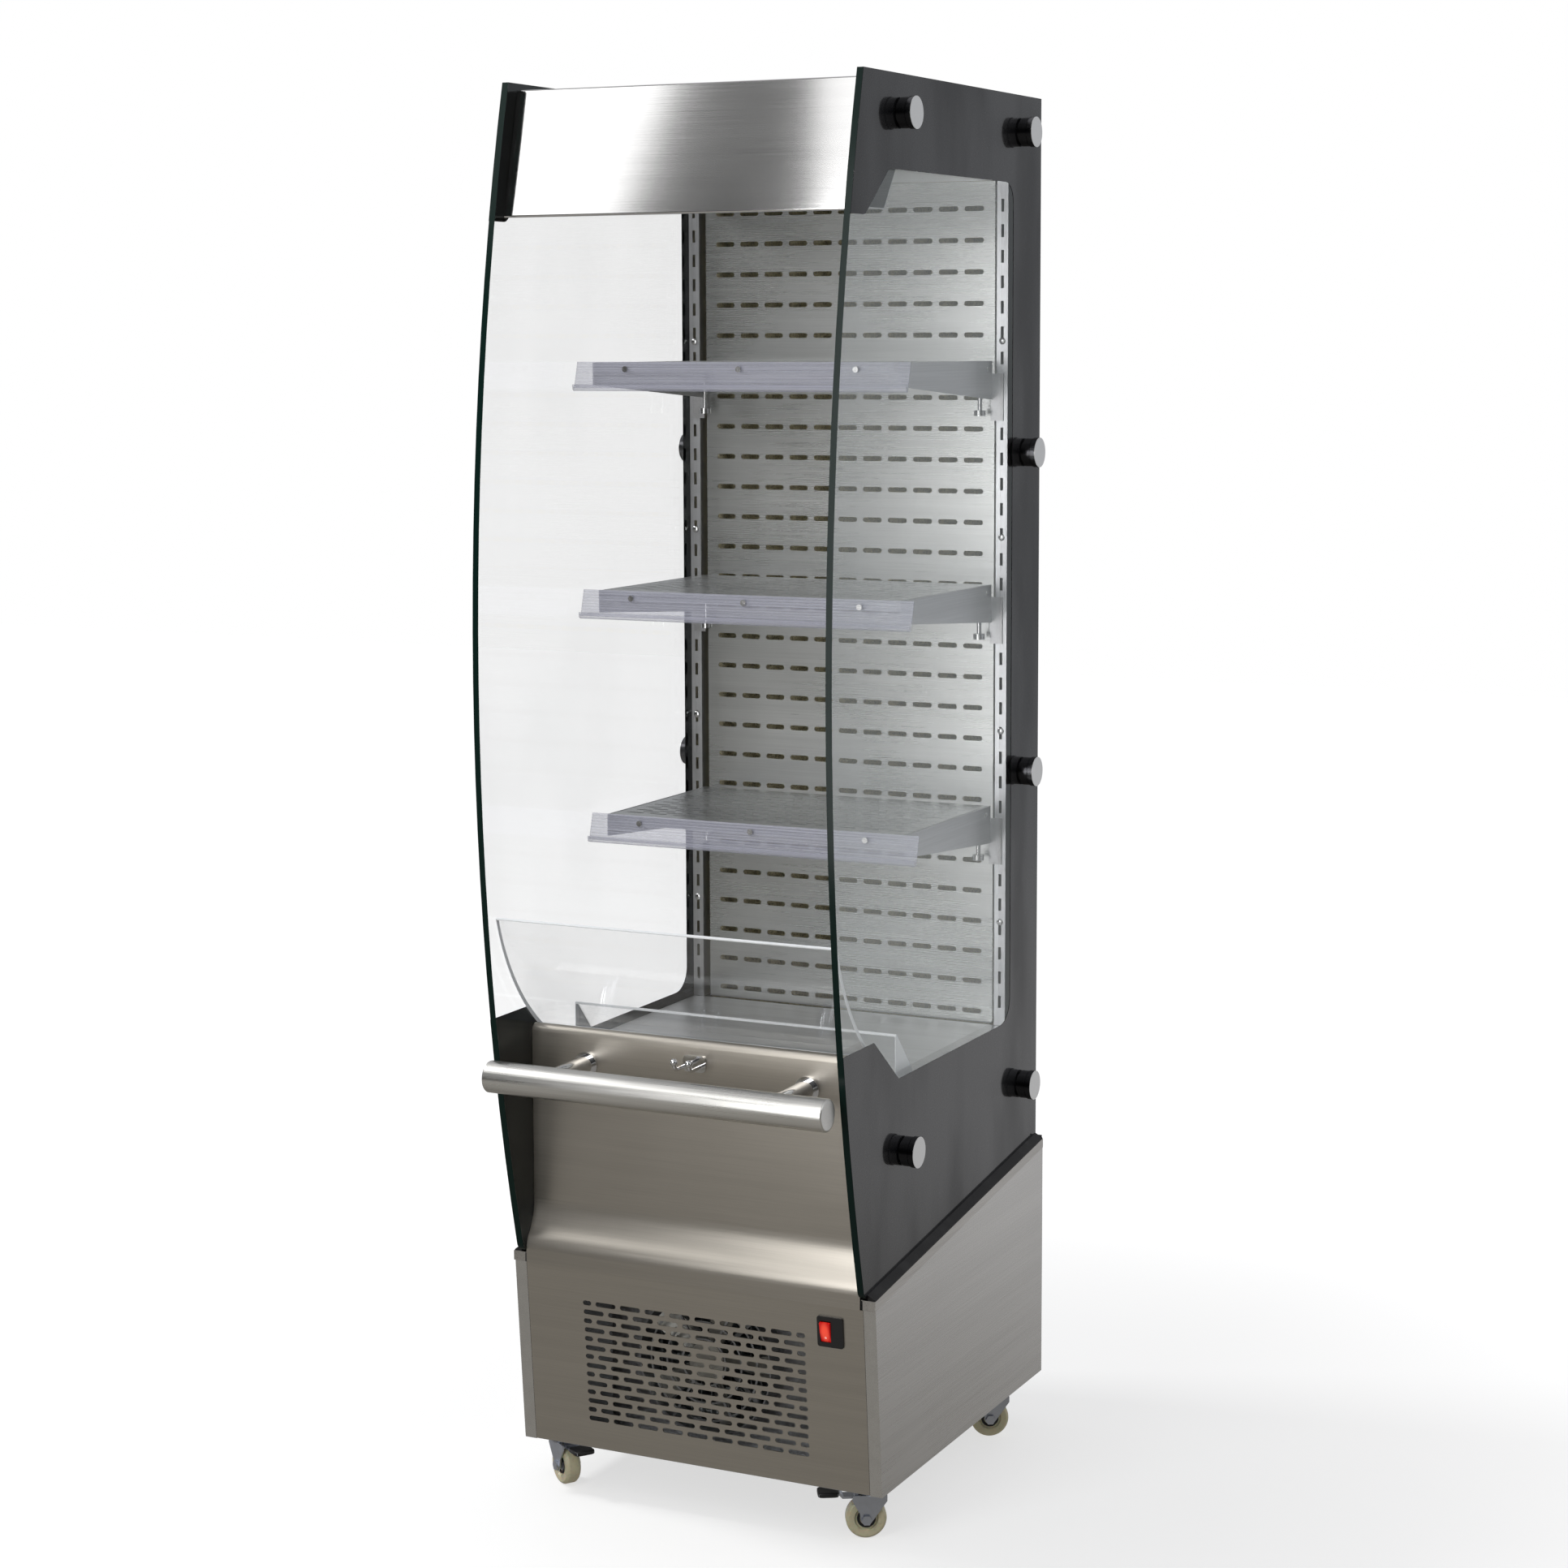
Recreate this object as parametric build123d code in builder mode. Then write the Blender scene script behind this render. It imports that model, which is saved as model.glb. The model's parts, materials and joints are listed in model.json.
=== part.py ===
"""Open-front refrigerated display case on casters, as separate pieces.

Millimetres. X runs left to right seen from the front, Y from front to back, Z up from the floor.
The origin is on the floor under the middle of the case.
"""
from build123d import *
import math
import os

os.makedirs("parts", exist_ok=True)

# ---------------------------------------------------------------- driving dimensions
HEIGHT = 1745.0              # floor to the top of the side glasses
REAR_Y = 321.25              # outer face of the back
BASE_HALF = 247.5            # half width over the base
BASE_Z = 66.0                # floor to the underside of the base
SHEET = 1.0                  # stainless sheet
GAP = 0.4                    # seam between neighbouring sheets

# base: the front leans, the side tops rise to the back
FOOT_Y, BROW_Y = -195.75, -215.75      # front face at the bottom and at the brow
BROW_Z = 313.0                         # side top at the front
SIDE_REAR_Z = 384.0                    # side top at the back
POST_IN = 231.0                        # inner edge of the front posts
SEAM_Z = 300.0                         # seam between lower and upper front panels
RAIL_H = 12.0                          # cap rail on the side tops
SKIN_OUT = 246.9                       # outer face of the side skins

# side glasses
GLASS_IN, GLASS_T, PRINT_T = 228.6, 8.0, 0.4
GLASS_FRONT_Y, GLASS_FRONT_Z, GLASS_R = -310.75, 1031.0, 3000.0
GLASS_REAR_Y = 319.5
GLASS_FOOT_Z = 312.4
INNER_HALF = 228.2                     # half width of what fits between the glasses
BOLTS = [(-121.25, 1700), (253.25, 1699), (270.25, 1295), (267.25, 883), (265.25, 469), (-110.75, 469)]
BOLT_HOLE_R, BOLT_R = 6.0, 4.0
CAP_R, CAP_PROUD = 19.0, 20.0

# window in the black print, and its corner radii
WINDOW_REAR_Y, WINDOW_LOW_Z, WINDOW_TOP_Z = 226.5, 561.0, 1635.0
WINDOW = [
    ((-340.0, 1580.6), 0), ((-220.75, 1580.6), 14), ((-153.75, WINDOW_TOP_Z), 16),
    ((WINDOW_REAR_Y, WINDOW_TOP_Z), 26), ((WINDOW_REAR_Y, WINDOW_LOW_Z), 32),
    ((-126.0, WINDOW_LOW_Z), 7), ((-197.25, 619.2), 4), ((-340.0, 619.2), 0),
]

# canopy
CANOPY_TOP_Z, CANOPY_LOW_Z = 1737.0, 1585.0
CANOPY_TOP_Y, CANOPY_LOW_Y = -204.25, -239.75
CANOPY_LIP = 7.25
CANOPY_T = 1.2
CANOPY_SEAM_Y = -170.0
UNDERSIDE_Z, CEILING_Z = 1590.0, 1640.0

# night blind, rolled up in the canopy
BAR_Y, BAR_Z = -226.0, 1596.0
BAR_T, BAR_H, BAR_HALF = 8.0, 20.0, 222.0
ROLLER_Y, ROLLER_Z, ROLL_R, TUBE_R = -206.5, 1622.0, 17.0, 11.0

# back of the display space
PANEL_Y = 238.55                       # front face of the perforated air panel
PANEL_HALF = 207.0
PANEL_SLOT = (27.0, 6.5)
PANEL_PITCH = (35.64, 39.92)
PANEL_GRID = (11, 27)
PANEL_TOP_ROW = 1604.5
UPRIGHT_Y, UPRIGHT_IN = 230.25, 213.0
UPRIGHT_T = 1.5
UPRIGHT_PITCH = 32.0
DECK_Z = 552.0

# shelves: name -> (top height, front edge)
SHELVES = {"top": (1412.0, -68.5), "middle": (1127.0, -58.5), "bottom": (840.5, -42.5)}
SHELF_HALF = 204.0
STRIP_HALF, STRIP_H, STRIP_LEAN = 227.0, 36.0, 10.0
RIVET_X = (-157.0, 0.0, 157.0)

# front panel, guard and well
PANEL_FOOT_Y = -218.75
BEND_ANGLE, BEND_LOW_R, BEND_HIGH_R = 38.0, 30.0, 66.0
BEND_Z = 318.0
TOP_BEND_R = 9.0
PANEL_TOP_Z = 599.0
PANEL_T = 1.2
SLOPE = 39.0                           # fall of the well's front wall, degrees
SLOPE_Y, SLOPE_Z = -188.0, 599.1
GUARD_T, GUARD_R, GUARD_SWEEP = 5.0, 290.0, 35.4
GUARD_FOOT_Y = -185.5
FENCE_Y, FENCE_T, FENCE_H = -102.25, 3.0, 56.0

# handle
HANDLE_Y, HANDLE_Z, HANDLE_R, HANDLE_HALF = -302.15, 554.7, 19.5, 227.0
POST_X = 151.0

# front grille and switch
GRILLE_ROWS, GRILLE_TOP_Z, GRILLE_LOW_Z = 14, 257.0, 106.0
GRILLE_PITCH, GRILLE_SLOT = 34.5, (28.0, 6.0)
GRILLE_STUB = 11.5
SWITCH_X, SWITCH_Z = 187.0, 267.0
BEZEL = (34.0, 38.0)
ROCKER = (13.0, 25.0)
ROCKER_X = -6.0                        # rocker centre from the bezel's centre

# casters: name -> (pivot x, pivot y, heading of the wheel from the pivot in degrees, brake)
TRAIL, WHEEL_R, WHEEL_T = 10.0, 25.0, 20.0
CASTERS = {
    "front_right": (217.0, -154.0, 210.0, True),
    "front_left": (-217.0, -154.0, 325.0, True),
    "rear_right": (217.0, 236.0, 210.0, False),
    "rear_left": (-217.0, 236.0, 150.0, False),
}

lean = math.degrees(math.atan2(FOOT_Y - BROW_Y, BROW_Z - BASE_Z))
lean_cos, lean_sin = math.cos(math.radians(lean)), math.sin(math.radians(lean))
LEAN = Plane(origin=(0, FOOT_Y, BASE_Z), x_dir=(1, 0, 0), z_dir=(0, -lean_cos, -lean_sin))
side_rise = (SIDE_REAR_Z - BROW_Z) / (REAR_Y - BROW_Y)


def save(part, name):
    """Labels a finished piece and writes it under its own name."""
    part.label = name
    export_step(part, f"parts/{name}.step")


def rim_z(y):
    """Height of the side's top edge at depth y."""
    return BROW_Z + side_rise * (y - BROW_Y)


def brow_y(z):
    """Depth of the leaning front face at height z."""
    return FOOT_Y + (BROW_Y - FOOT_Y) * (z - BASE_Z) / (BROW_Z - BASE_Z)


def up_lean(z):
    """Distance up the leaning face of a point at height z."""
    return (z - BASE_Z) / lean_cos


def glass_front_y(z):
    """Depth of the glass's curved front edge at height z."""
    return GLASS_FRONT_Y + GLASS_R - math.sqrt(GLASS_R**2 - (z - GLASS_FRONT_Z) ** 2)


# ---------------------------------------------------------------- side glasses and their print
# outline of a side glass, depth across and height up: one long arc in front, three straight edges
with BuildSketch() as glass_outline:
    glass_foot, glass_top = (glass_front_y(GLASS_FOOT_Z), GLASS_FOOT_Z), (glass_front_y(HEIGHT), HEIGHT)
    with BuildLine():
        ThreePointArc(glass_foot, (GLASS_FRONT_Y, GLASS_FRONT_Z), glass_top)
        Polyline(glass_top, (GLASS_REAR_Y, HEIGHT), (GLASS_REAR_Y, rim_z(GLASS_REAR_Y) + GAP), glass_foot)
    make_face()
    fillet(glass_outline.vertices().sort_by_distance(glass_foot)[0], 16)
    with Locations(*BOLTS):
        Circle(BOLT_HOLE_R, mode=Mode.SUBTRACT)

for side, name in ((1, "right"), (-1, "left")):
    with BuildPart() as glass:
        with BuildSketch(Plane.YZ.offset(side * GLASS_IN)):
            add(glass_outline.sketch)
        extrude(amount=side * GLASS_T)
    save(glass.part, f"side_glass_{name}")

with BuildSketch() as print_window:
    with BuildLine():
        Polyline(*[point for point, radius in WINDOW], close=True)
    make_face()
    for point, radius in WINDOW:
        if radius:
            fillet(print_window.vertices().sort_by_distance(point)[0], radius)

with BuildPart() as glass_print:
    for side in (1, -1):
        with BuildSketch(Plane.YZ.offset(side * (GLASS_IN + GLASS_T))):
            add(glass_outline.sketch)
            add(print_window.sketch, mode=Mode.SUBTRACT)
        extrude(amount=side * PRINT_T)
save(glass_print.part, "glass_print")

# stand-off bolts: a washer, a ring and a cap outside, a nut inside
with BuildPart() as glass_bolts:
    face_x = GLASS_IN + GLASS_T + PRINT_T
    for side in (1, -1):
        for y, z in BOLTS:
            base = Plane(origin=(side * face_x, y, z), x_dir=(0, 1, 0), z_dir=(side, 0, 0))
            with BuildSketch(base):
                Circle(CAP_R - 4)
            extrude(amount=2)
            with BuildSketch(base.offset(2)):
                Circle(CAP_R - 1)
            extrude(amount=10)
            with BuildSketch(base.offset(12)):
                Circle(CAP_R - 2.5)
            extrude(amount=1.2)
            with BuildSketch(base.offset(13.2)):
                Circle(CAP_R)
            extrude(amount=CAP_PROUD - 13.2)
            with BuildSketch(base):
                Circle(BOLT_R)
            extrude(amount=-(GLASS_T + PRINT_T + 5))
            with BuildSketch(base.offset(-(GLASS_T + PRINT_T))):
                Circle(10)
            extrude(amount=-5)
save(glass_bolts.part, "glass_bolts")

# ---------------------------------------------------------------- base
with BuildPart() as chassis_pan:
    with BuildSketch(Plane.YZ):
        with BuildLine():
            front = brow_y(BASE_Z) + SHEET + GAP
            Polyline((front, BASE_Z), (REAR_Y - 1.8, BASE_Z), (REAR_Y - 1.8, BASE_Z + 2), (front, BASE_Z + 2),
                     close=True)
        make_face()
    extrude(amount=SKIN_OUT - SHEET - GAP, both=True)
save(chassis_pan.part, "chassis_pan")

for side, name in ((1, "right"), (-1, "left")):
    with BuildPart() as side_panel:
        with BuildSketch(Plane.YZ.offset(side * SKIN_OUT)):
            with BuildLine():
                rear, front = REAR_Y - 1.3, brow_y(SEAM_Z + 1)
                Polyline((FOOT_Y, BASE_Z), (rear, BASE_Z), (rear, rim_z(rear) - SHEET - GAP),
                         (front, rim_z(front) - SHEET - GAP), (front, SEAM_Z + 1), close=True)
            make_face()
        extrude(amount=-side * SHEET)
        with BuildSketch(Plane.YZ.offset(side * SKIN_OUT)):
            with BuildLine():
                Polyline((FOOT_Y, BASE_Z), (FOOT_Y + SHEET, BASE_Z), (brow_y(SEAM_Z) + SHEET, SEAM_Z),
                         (brow_y(SEAM_Z), SEAM_Z), close=True)
            make_face()
        extrude(amount=-side * (SKIN_OUT - POST_IN))
    save(side_panel.part, f"side_panel_{name}")

# cap rails: a leaf down the outside, a ledge across the top and a closing plate at the front
with BuildPart() as cap_rails:
    rail_front, rail_rear = BROW_Y - 0.6, REAR_Y - 1.3
    ledge_in = GLASS_IN + GAP
    for side in (1, -1):
        with BuildSketch(Plane.YZ.offset(side * SKIN_OUT)):
            with BuildLine():
                Polyline((rail_front, rim_z(rail_front) - RAIL_H), (rail_rear, rim_z(rail_rear) - RAIL_H),
                         (rail_rear, rim_z(rail_rear)), (rail_front, rim_z(rail_front)), close=True)
            make_face()
        extrude(amount=side * (BASE_HALF - SKIN_OUT))
        with BuildSketch(Plane.YZ.offset(side * BASE_HALF)):
            with BuildLine():
                Polyline((rail_front, rim_z(rail_front) - SHEET), (rail_rear, rim_z(rail_rear) - SHEET),
                         (rail_rear, rim_z(rail_rear)), (rail_front, rim_z(rail_front)), close=True)
            make_face()
        extrude(amount=-side * (BASE_HALF - ledge_in))
        with BuildSketch(Plane.XZ.offset(-rail_front)):
            with Locations((side * (POST_IN + BASE_HALF) / 2, rim_z(rail_front) - RAIL_H / 2)):
                Rectangle(BASE_HALF - POST_IN, RAIL_H)
        extrude(amount=0.8)
save(cap_rails.part, "cap_rails")

# wedge gaskets along the foot of each glass, standing on the rails' ledges
with BuildPart() as glass_gaskets:
    for side in (1, -1):
        down_rail = Plane(origin=(0, BROW_Y, BROW_Z), x_dir=(1, 0, 0), z_dir=(0, -1, -side_rise))
        with BuildSketch(down_rail):
            with BuildLine():
                inner, outer = side * (GLASS_IN + GLASS_T + PRINT_T + 0.1), side * (BASE_HALF - 0.7)
                Polyline((inner, 0), (outer, 0), (outer, 1.2), (inner, 7), close=True)
            make_face()
        extrude(amount=-(REAR_Y - 1.8 - BROW_Y) * math.hypot(1, side_rise))
save(glass_gaskets.part, "glass_gaskets")

with BuildPart() as lower_front_panel:
    with BuildSketch(LEAN):
        low, high = up_lean(BASE_Z + 1), up_lean(SEAM_Z - GAP)
        with Locations((0, (low + high) / 2)):
            Rectangle(2 * (POST_IN - GAP), high - low)
        row_pitch = (GRILLE_TOP_Z - GRILLE_LOW_Z) / (GRILLE_ROWS - 1)
        for row in range(GRILLE_ROWS):
            level = up_lean(GRILLE_TOP_Z - row * row_pitch)
            long_slots = 9 if row % 2 else 8
            with Locations((0, level)):
                with GridLocations(GRILLE_PITCH, 1, long_slots, 1):
                    SlotOverall(*GRILLE_SLOT, mode=Mode.SUBTRACT)
                if not row % 2:
                    with GridLocations(2 * (4.5 * GRILLE_PITCH - 8.5), 1, 2, 1):
                        SlotOverall(GRILLE_STUB, GRILLE_SLOT[1], mode=Mode.SUBTRACT)
        with Locations((SWITCH_X, up_lean(SWITCH_Z))):
            Rectangle(BEZEL[0] - 4, BEZEL[1] - 4, mode=Mode.SUBTRACT)
    extrude(amount=-SHEET)
save(lower_front_panel.part, "lower_front_panel")

with BuildPart() as rear_service_panel:
    with BuildSketch(Plane.XZ.offset(-REAR_Y)):
        with Locations((0, (BASE_Z + 2.5 + 388) / 2)):
            Rectangle(2 * (SKIN_OUT - 1.5), 388 - BASE_Z - 2.5)
        for x in (-110, 70):
            with Locations((x, 190)):
                with GridLocations(1, 16, 1, 11):
                    SlotOverall(140, 6, mode=Mode.SUBTRACT)
        with Locations((195, 120)):
            Rectangle(28, 22, mode=Mode.SUBTRACT)
    extrude(amount=1.2)
save(rear_service_panel.part, "rear_service_panel")

with BuildPart() as power_inlet:
    with BuildSketch(Plane.XZ.offset(-REAR_Y)):
        with Locations((195, 120)):
            Rectangle(27.4, 21.4)
    extrude(amount=28)
    with BuildSketch(Plane.XZ.offset(-REAR_Y)):
        with Locations((195, 120)):
            Rectangle(23, 16)
    extrude(amount=22, mode=Mode.SUBTRACT)
    with BuildSketch(Plane.XZ.offset(-REAR_Y + 28)):
        with Locations((195, 120), (188, 116.5), (202, 116.5)):
            Rectangle(2, 5)
    extrude(amount=-20)
save(power_inlet.part, "power_inlet")

# ---------------------------------------------------------------- front panel and handle
with BuildPart() as upper_front_panel:
    with BuildSketch(Plane.YZ):
        with BuildLine():
            foot = Line((PANEL_FOOT_Y, SEAM_Z + GAP), (PANEL_FOOT_Y, BEND_Z))
            low_bend = JernArc(foot @ 1, foot % 1, BEND_LOW_R, -BEND_ANGLE)
            high_bend = JernArc(low_bend @ 1, low_bend % 1, BEND_HIGH_R, BEND_ANGLE)
            face_y = (high_bend @ 1).X
            face = Line(high_bend @ 1, (face_y, PANEL_TOP_Z - TOP_BEND_R))
            JernArc(face @ 1, face % 1, TOP_BEND_R, -90)
            offset(amount=PANEL_T, side=Side.RIGHT)
        make_face()
    extrude(amount=INNER_HALF, both=True)
save(upper_front_panel.part, "upper_front_panel")

with BuildPart() as handle_bar:
    with BuildSketch(Plane.YZ.offset(-HANDLE_HALF + 3)):
        with Locations((HANDLE_Y, HANDLE_Z)):
            Circle(HANDLE_R)
            Circle(HANDLE_R - 2, mode=Mode.SUBTRACT)
    extrude(amount=2 * HANDLE_HALF - 6)
    for side in (1, -1):
        with BuildSketch(Plane.YZ.offset(side * (HANDLE_HALF - 3))):
            with Locations((HANDLE_Y, HANDLE_Z)):
                Circle(HANDLE_R)
        extrude(amount=side * 3)
    rings = handle_bar.edges().filter_by(GeomType.CIRCLE).sort_by(Axis.X)
    fillet([rings[0], rings[-1]], 2.4)
save(handle_bar.part, "handle_bar")

with BuildPart() as handle_posts:
    for side in (1, -1):
        for depth, radius in ((0, 16), (4, 12.5)):
            with BuildSketch(Plane.XZ.offset(-face_y + depth)):
                with Locations((side * POST_X, HANDLE_Z)):
                    Circle(radius)
            extrude(amount=4 if depth == 0 else face_y - HANDLE_Y - 8)
    with BuildSketch(Plane.YZ):
        with Locations((HANDLE_Y, HANDLE_Z)):
            Circle(HANDLE_R)
    extrude(amount=HANDLE_HALF, both=True, mode=Mode.SUBTRACT)
save(handle_posts.part, "handle_posts")

# two-pronged hook that holds the night blind's bar
HOOK_Z, HOOK_REACH, PRONG_X, PRONG_R = 571.0, 36.0, 10.0, 2.6
with BuildPart() as blind_hook:
    with BuildSketch(Plane.XZ.offset(-face_y)):
        with Locations((0, HOOK_Z)):
            RectangleRounded(31, 20, 6)
    extrude(amount=3)
    for x in (-PRONG_X, PRONG_X):
        with BuildLine() as prong:
            arm = Line((x, face_y - 2, HOOK_Z - 2), (x, face_y - HOOK_REACH + 9, HOOK_Z - 2))
            turn = (x, face_y - HOOK_REACH + 2.6, HOOK_Z + 0.6)
            ThreePointArc(arm @ 1, turn, (x, face_y - HOOK_REACH, HOOK_Z + 7))
        with BuildSketch(Plane(origin=prong.line @ 0, z_dir=prong.line % 0)):
            Circle(PRONG_R)
        sweep(path=prong.line)
        with Locations((x, face_y - HOOK_REACH, HOOK_Z + 8)):
            Sphere(4.6)
save(blind_hook.part, "blind_hook")

# ---------------------------------------------------------------- canopy
with BuildPart() as canopy_cover:
    with BuildSketch(Plane.YZ):
        with BuildLine():
            FilletPolyline((CANOPY_SEAM_Y, CANOPY_TOP_Z), (CANOPY_TOP_Y, CANOPY_TOP_Z),
                           (CANOPY_LOW_Y, CANOPY_LOW_Z), (CANOPY_LOW_Y + CANOPY_LIP, CANOPY_LOW_Z),
                           radius=2.2)
            offset(amount=CANOPY_T, side=Side.LEFT)
        make_face()
    extrude(amount=INNER_HALF, both=True)
save(canopy_cover.part, "canopy_cover")

with BuildPart() as top_panel:
    with BuildSketch(Plane.XY.offset(CANOPY_TOP_Z)):
        with Locations((0, (CANOPY_SEAM_Y + GAP + REAR_Y - 1.3) / 2)):
            Rectangle(2 * INNER_HALF, REAR_Y - 1.3 - CANOPY_SEAM_Y - GAP)
    extrude(amount=-CANOPY_T)
save(top_panel.part, "top_panel")

# underside: a slotted air outlet in front, then a slope up to the ceiling of the display space
OUTLET_FRONT_Y, OUTLET_REAR_Y = -220.5, -150.0
with BuildPart() as canopy_underside:
    with BuildSketch(Plane.YZ):
        with BuildLine():
            FilletPolyline((OUTLET_FRONT_Y, UNDERSIDE_Z), (OUTLET_REAR_Y, UNDERSIDE_Z), (-115, CEILING_Z),
                           (PANEL_Y - GAP, CEILING_Z), radius=4)
            offset(amount=SHEET, side=Side.RIGHT)
        make_face()
    extrude(amount=INNER_HALF, both=True)
    with BuildSketch(Plane.XY.offset(UNDERSIDE_Z)):
        with Locations((0, (OUTLET_FRONT_Y + OUTLET_REAR_Y) / 2)):
            with GridLocations(20, 14, 21, 4):
                SlotOverall(15, 7, mode=Mode.ADD)
    extrude(amount=SHEET, both=True, mode=Mode.SUBTRACT)
save(canopy_underside.part, "canopy_underside")

with BuildPart() as canopy_lamp:
    with BuildSketch(Plane.YZ):
        with Locations((-96, CEILING_Z - 9.5)):
            Circle(8)
    extrude(amount=190, both=True)
    for side in (1, -1):
        with BuildSketch(Plane.YZ.offset(side * 190)):
            with Locations((-96, CEILING_Z - 9.5 + 0.1)):
                Rectangle(19, 16.8)
        extrude(amount=side * 12)
save(canopy_lamp.part, "canopy_lamp")

with BuildPart() as blind_roller:
    with BuildSketch(Plane.YZ):
        with Locations((ROLLER_Y, ROLLER_Z)):
            Circle(ROLL_R)
            Circle(TUBE_R - 1.5, mode=Mode.SUBTRACT)
    extrude(amount=BAR_HALF - 4, both=True)
save(blind_roller.part, "blind_roller")

with BuildPart() as blind_bar:
    with BuildSketch(Plane.YZ):
        with Locations((BAR_Y, BAR_Z)):
            RectangleRounded(BAR_T, BAR_H, 3)
    extrude(amount=BAR_HALF, both=True)
save(blind_bar.part, "blind_bar")

# ---------------------------------------------------------------- back of the cabinet
with BuildPart() as rear_panel:
    with BuildSketch(Plane.XZ.offset(-REAR_Y)):
        with Locations((0, (389 + CANOPY_TOP_Z) / 2)):
            Rectangle(2 * INNER_HALF, CANOPY_TOP_Z - 389)
    extrude(amount=1.2)
save(rear_panel.part, "rear_panel")

INSULATION_Y, INSULATION_LOW_Z = 283.0, 404.0
with BuildPart() as insulation_back:
    with BuildSketch(Plane.XZ.offset(-INSULATION_Y)):
        with Locations((0, (INSULATION_LOW_Z + CANOPY_TOP_Z - 2) / 2)):
            Rectangle(2 * INNER_HALF, CANOPY_TOP_Z - 2 - INSULATION_LOW_Z)
    extrude(amount=-(REAR_Y - 1.3 - INSULATION_Y))
save(insulation_back.part, "insulation_back")

with BuildPart() as back_air_panel:
    low, high = DECK_Z + GAP, CEILING_Z - SHEET - GAP
    with BuildSketch(Plane.XZ.offset(-PANEL_Y)):
        with Locations((0, (low + high) / 2)):
            Rectangle(2 * PANEL_HALF, high - low)
        with Locations((0, PANEL_TOP_ROW - (PANEL_GRID[1] - 1) * PANEL_PITCH[1] / 2)):
            with GridLocations(*PANEL_PITCH, *PANEL_GRID):
                SlotOverall(*PANEL_SLOT, mode=Mode.SUBTRACT)
    extrude(amount=-SHEET)
    for side in (1, -1):
        with BuildSketch(Plane.XZ.offset(-PANEL_Y - SHEET)):
            with Locations((side * (PANEL_HALF - SHEET / 2), (low + high) / 2)):
                Rectangle(SHEET, high - low)
        extrude(amount=-12)
save(back_air_panel.part, "back_air_panel")

with BuildPart() as uprights:
    for side in (1, -1):
        centre_x = side * (UPRIGHT_IN + INNER_HALF) / 2
        with BuildSketch(Plane.XZ.offset(-UPRIGHT_Y)):
            with Locations((centre_x, (low + high) / 2)):
                Rectangle(INNER_HALF - UPRIGHT_IN, high - low)
            with Locations((centre_x, (low + high) / 2)):
                with GridLocations(1, UPRIGHT_PITCH, 1, 33):
                    Rectangle(4, 16, mode=Mode.SUBTRACT)
        extrude(amount=-UPRIGHT_T)
        for edge_x in (UPRIGHT_IN, INNER_HALF - UPRIGHT_T):
            with BuildSketch(Plane.XZ.offset(-UPRIGHT_Y - UPRIGHT_T)):
                with Locations((side * (edge_x + UPRIGHT_T / 2), (low + high) / 2)):
                    Rectangle(UPRIGHT_T, high - low)
            extrude(amount=-18)
save(uprights.part, "uprights")

# ---------------------------------------------------------------- shelves
ARM_X, ARM_T = 206.0, 2.0
HOOK_PLATE = (17.0, 60.0)
for shelf, (shelf_z, front_y) in SHELVES.items():
    rear_y = UPRIGHT_Y - 3
    with BuildPart() as shelf_plate:
        with BuildSketch(Plane.XY.offset(shelf_z)):
            with Locations((0, (front_y + rear_y) / 2)):
                Rectangle(2 * SHELF_HALF, rear_y - front_y)
            with Locations((0, (front_y + rear_y) / 2 + 2)):
                with GridLocations(33, 24, 12, 10):
                    SlotOverall(24, 5, mode=Mode.SUBTRACT)
                with Locations((0, 12)):
                    with GridLocations(33, 24, 11, 10):
                        SlotOverall(24, 5, mode=Mode.SUBTRACT)
        extrude(amount=-SHEET)
        with BuildSketch(Plane.XZ.offset(-front_y)):
            with Locations((0, shelf_z - 6)):
                Rectangle(2 * SHELF_HALF, 12)
        extrude(amount=-SHEET)
    save(shelf_plate.part, f"shelf_{shelf}")

    with BuildPart() as brackets:
        for side in (1, -1):
            with BuildSketch(Plane.YZ.offset(side * ARM_X)):
                with BuildLine():
                    Polyline((front_y + 3, shelf_z), (UPRIGHT_Y - 2, shelf_z), (UPRIGHT_Y - 2, shelf_z - 49),
                             (front_y + 3, shelf_z - 28), close=True)
                make_face()
            extrude(amount=side * ARM_T)
            with BuildSketch(Plane.XZ.offset(-UPRIGHT_Y)):
                with Locations((side * (ARM_X + HOOK_PLATE[0] / 2), shelf_z - 16 - HOOK_PLATE[1] / 2)):
                    Rectangle(*HOOK_PLATE)
            extrude(amount=2)
            with BuildSketch(Plane.XY.offset(shelf_z - SHEET)):
                with Locations((side * (ARM_X - 4), (front_y + rear_y) / 2)):
                    Rectangle(8, rear_y - front_y - 40)
            extrude(amount=-1.5)
    save(brackets.part, f"shelf_{shelf}_brackets")

    # price strip: a leaning leaf with a channel lip along its foot
    with BuildPart() as price_strip:
        with BuildSketch(Plane.YZ):
            with BuildLine():
                strip_y, strip_z = front_y - STRIP_LEAN, shelf_z + 1 - STRIP_H
                Polyline((front_y - 0.4, shelf_z + 1), (strip_y, strip_z), (strip_y - 5, strip_z + 1.5),
                         (strip_y - 5.6, strip_z + 7), (strip_y - 4.0, strip_z + 7),
                         (strip_y - 3.2, strip_z + 3.4), (strip_y - 0.8, strip_z + 2.6),
                         (front_y - 2.8, shelf_z + 1), close=True)
            make_face()
        extrude(amount=STRIP_HALF, both=True)
    save(price_strip.part, f"shelf_{shelf}_price_strip")

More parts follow.
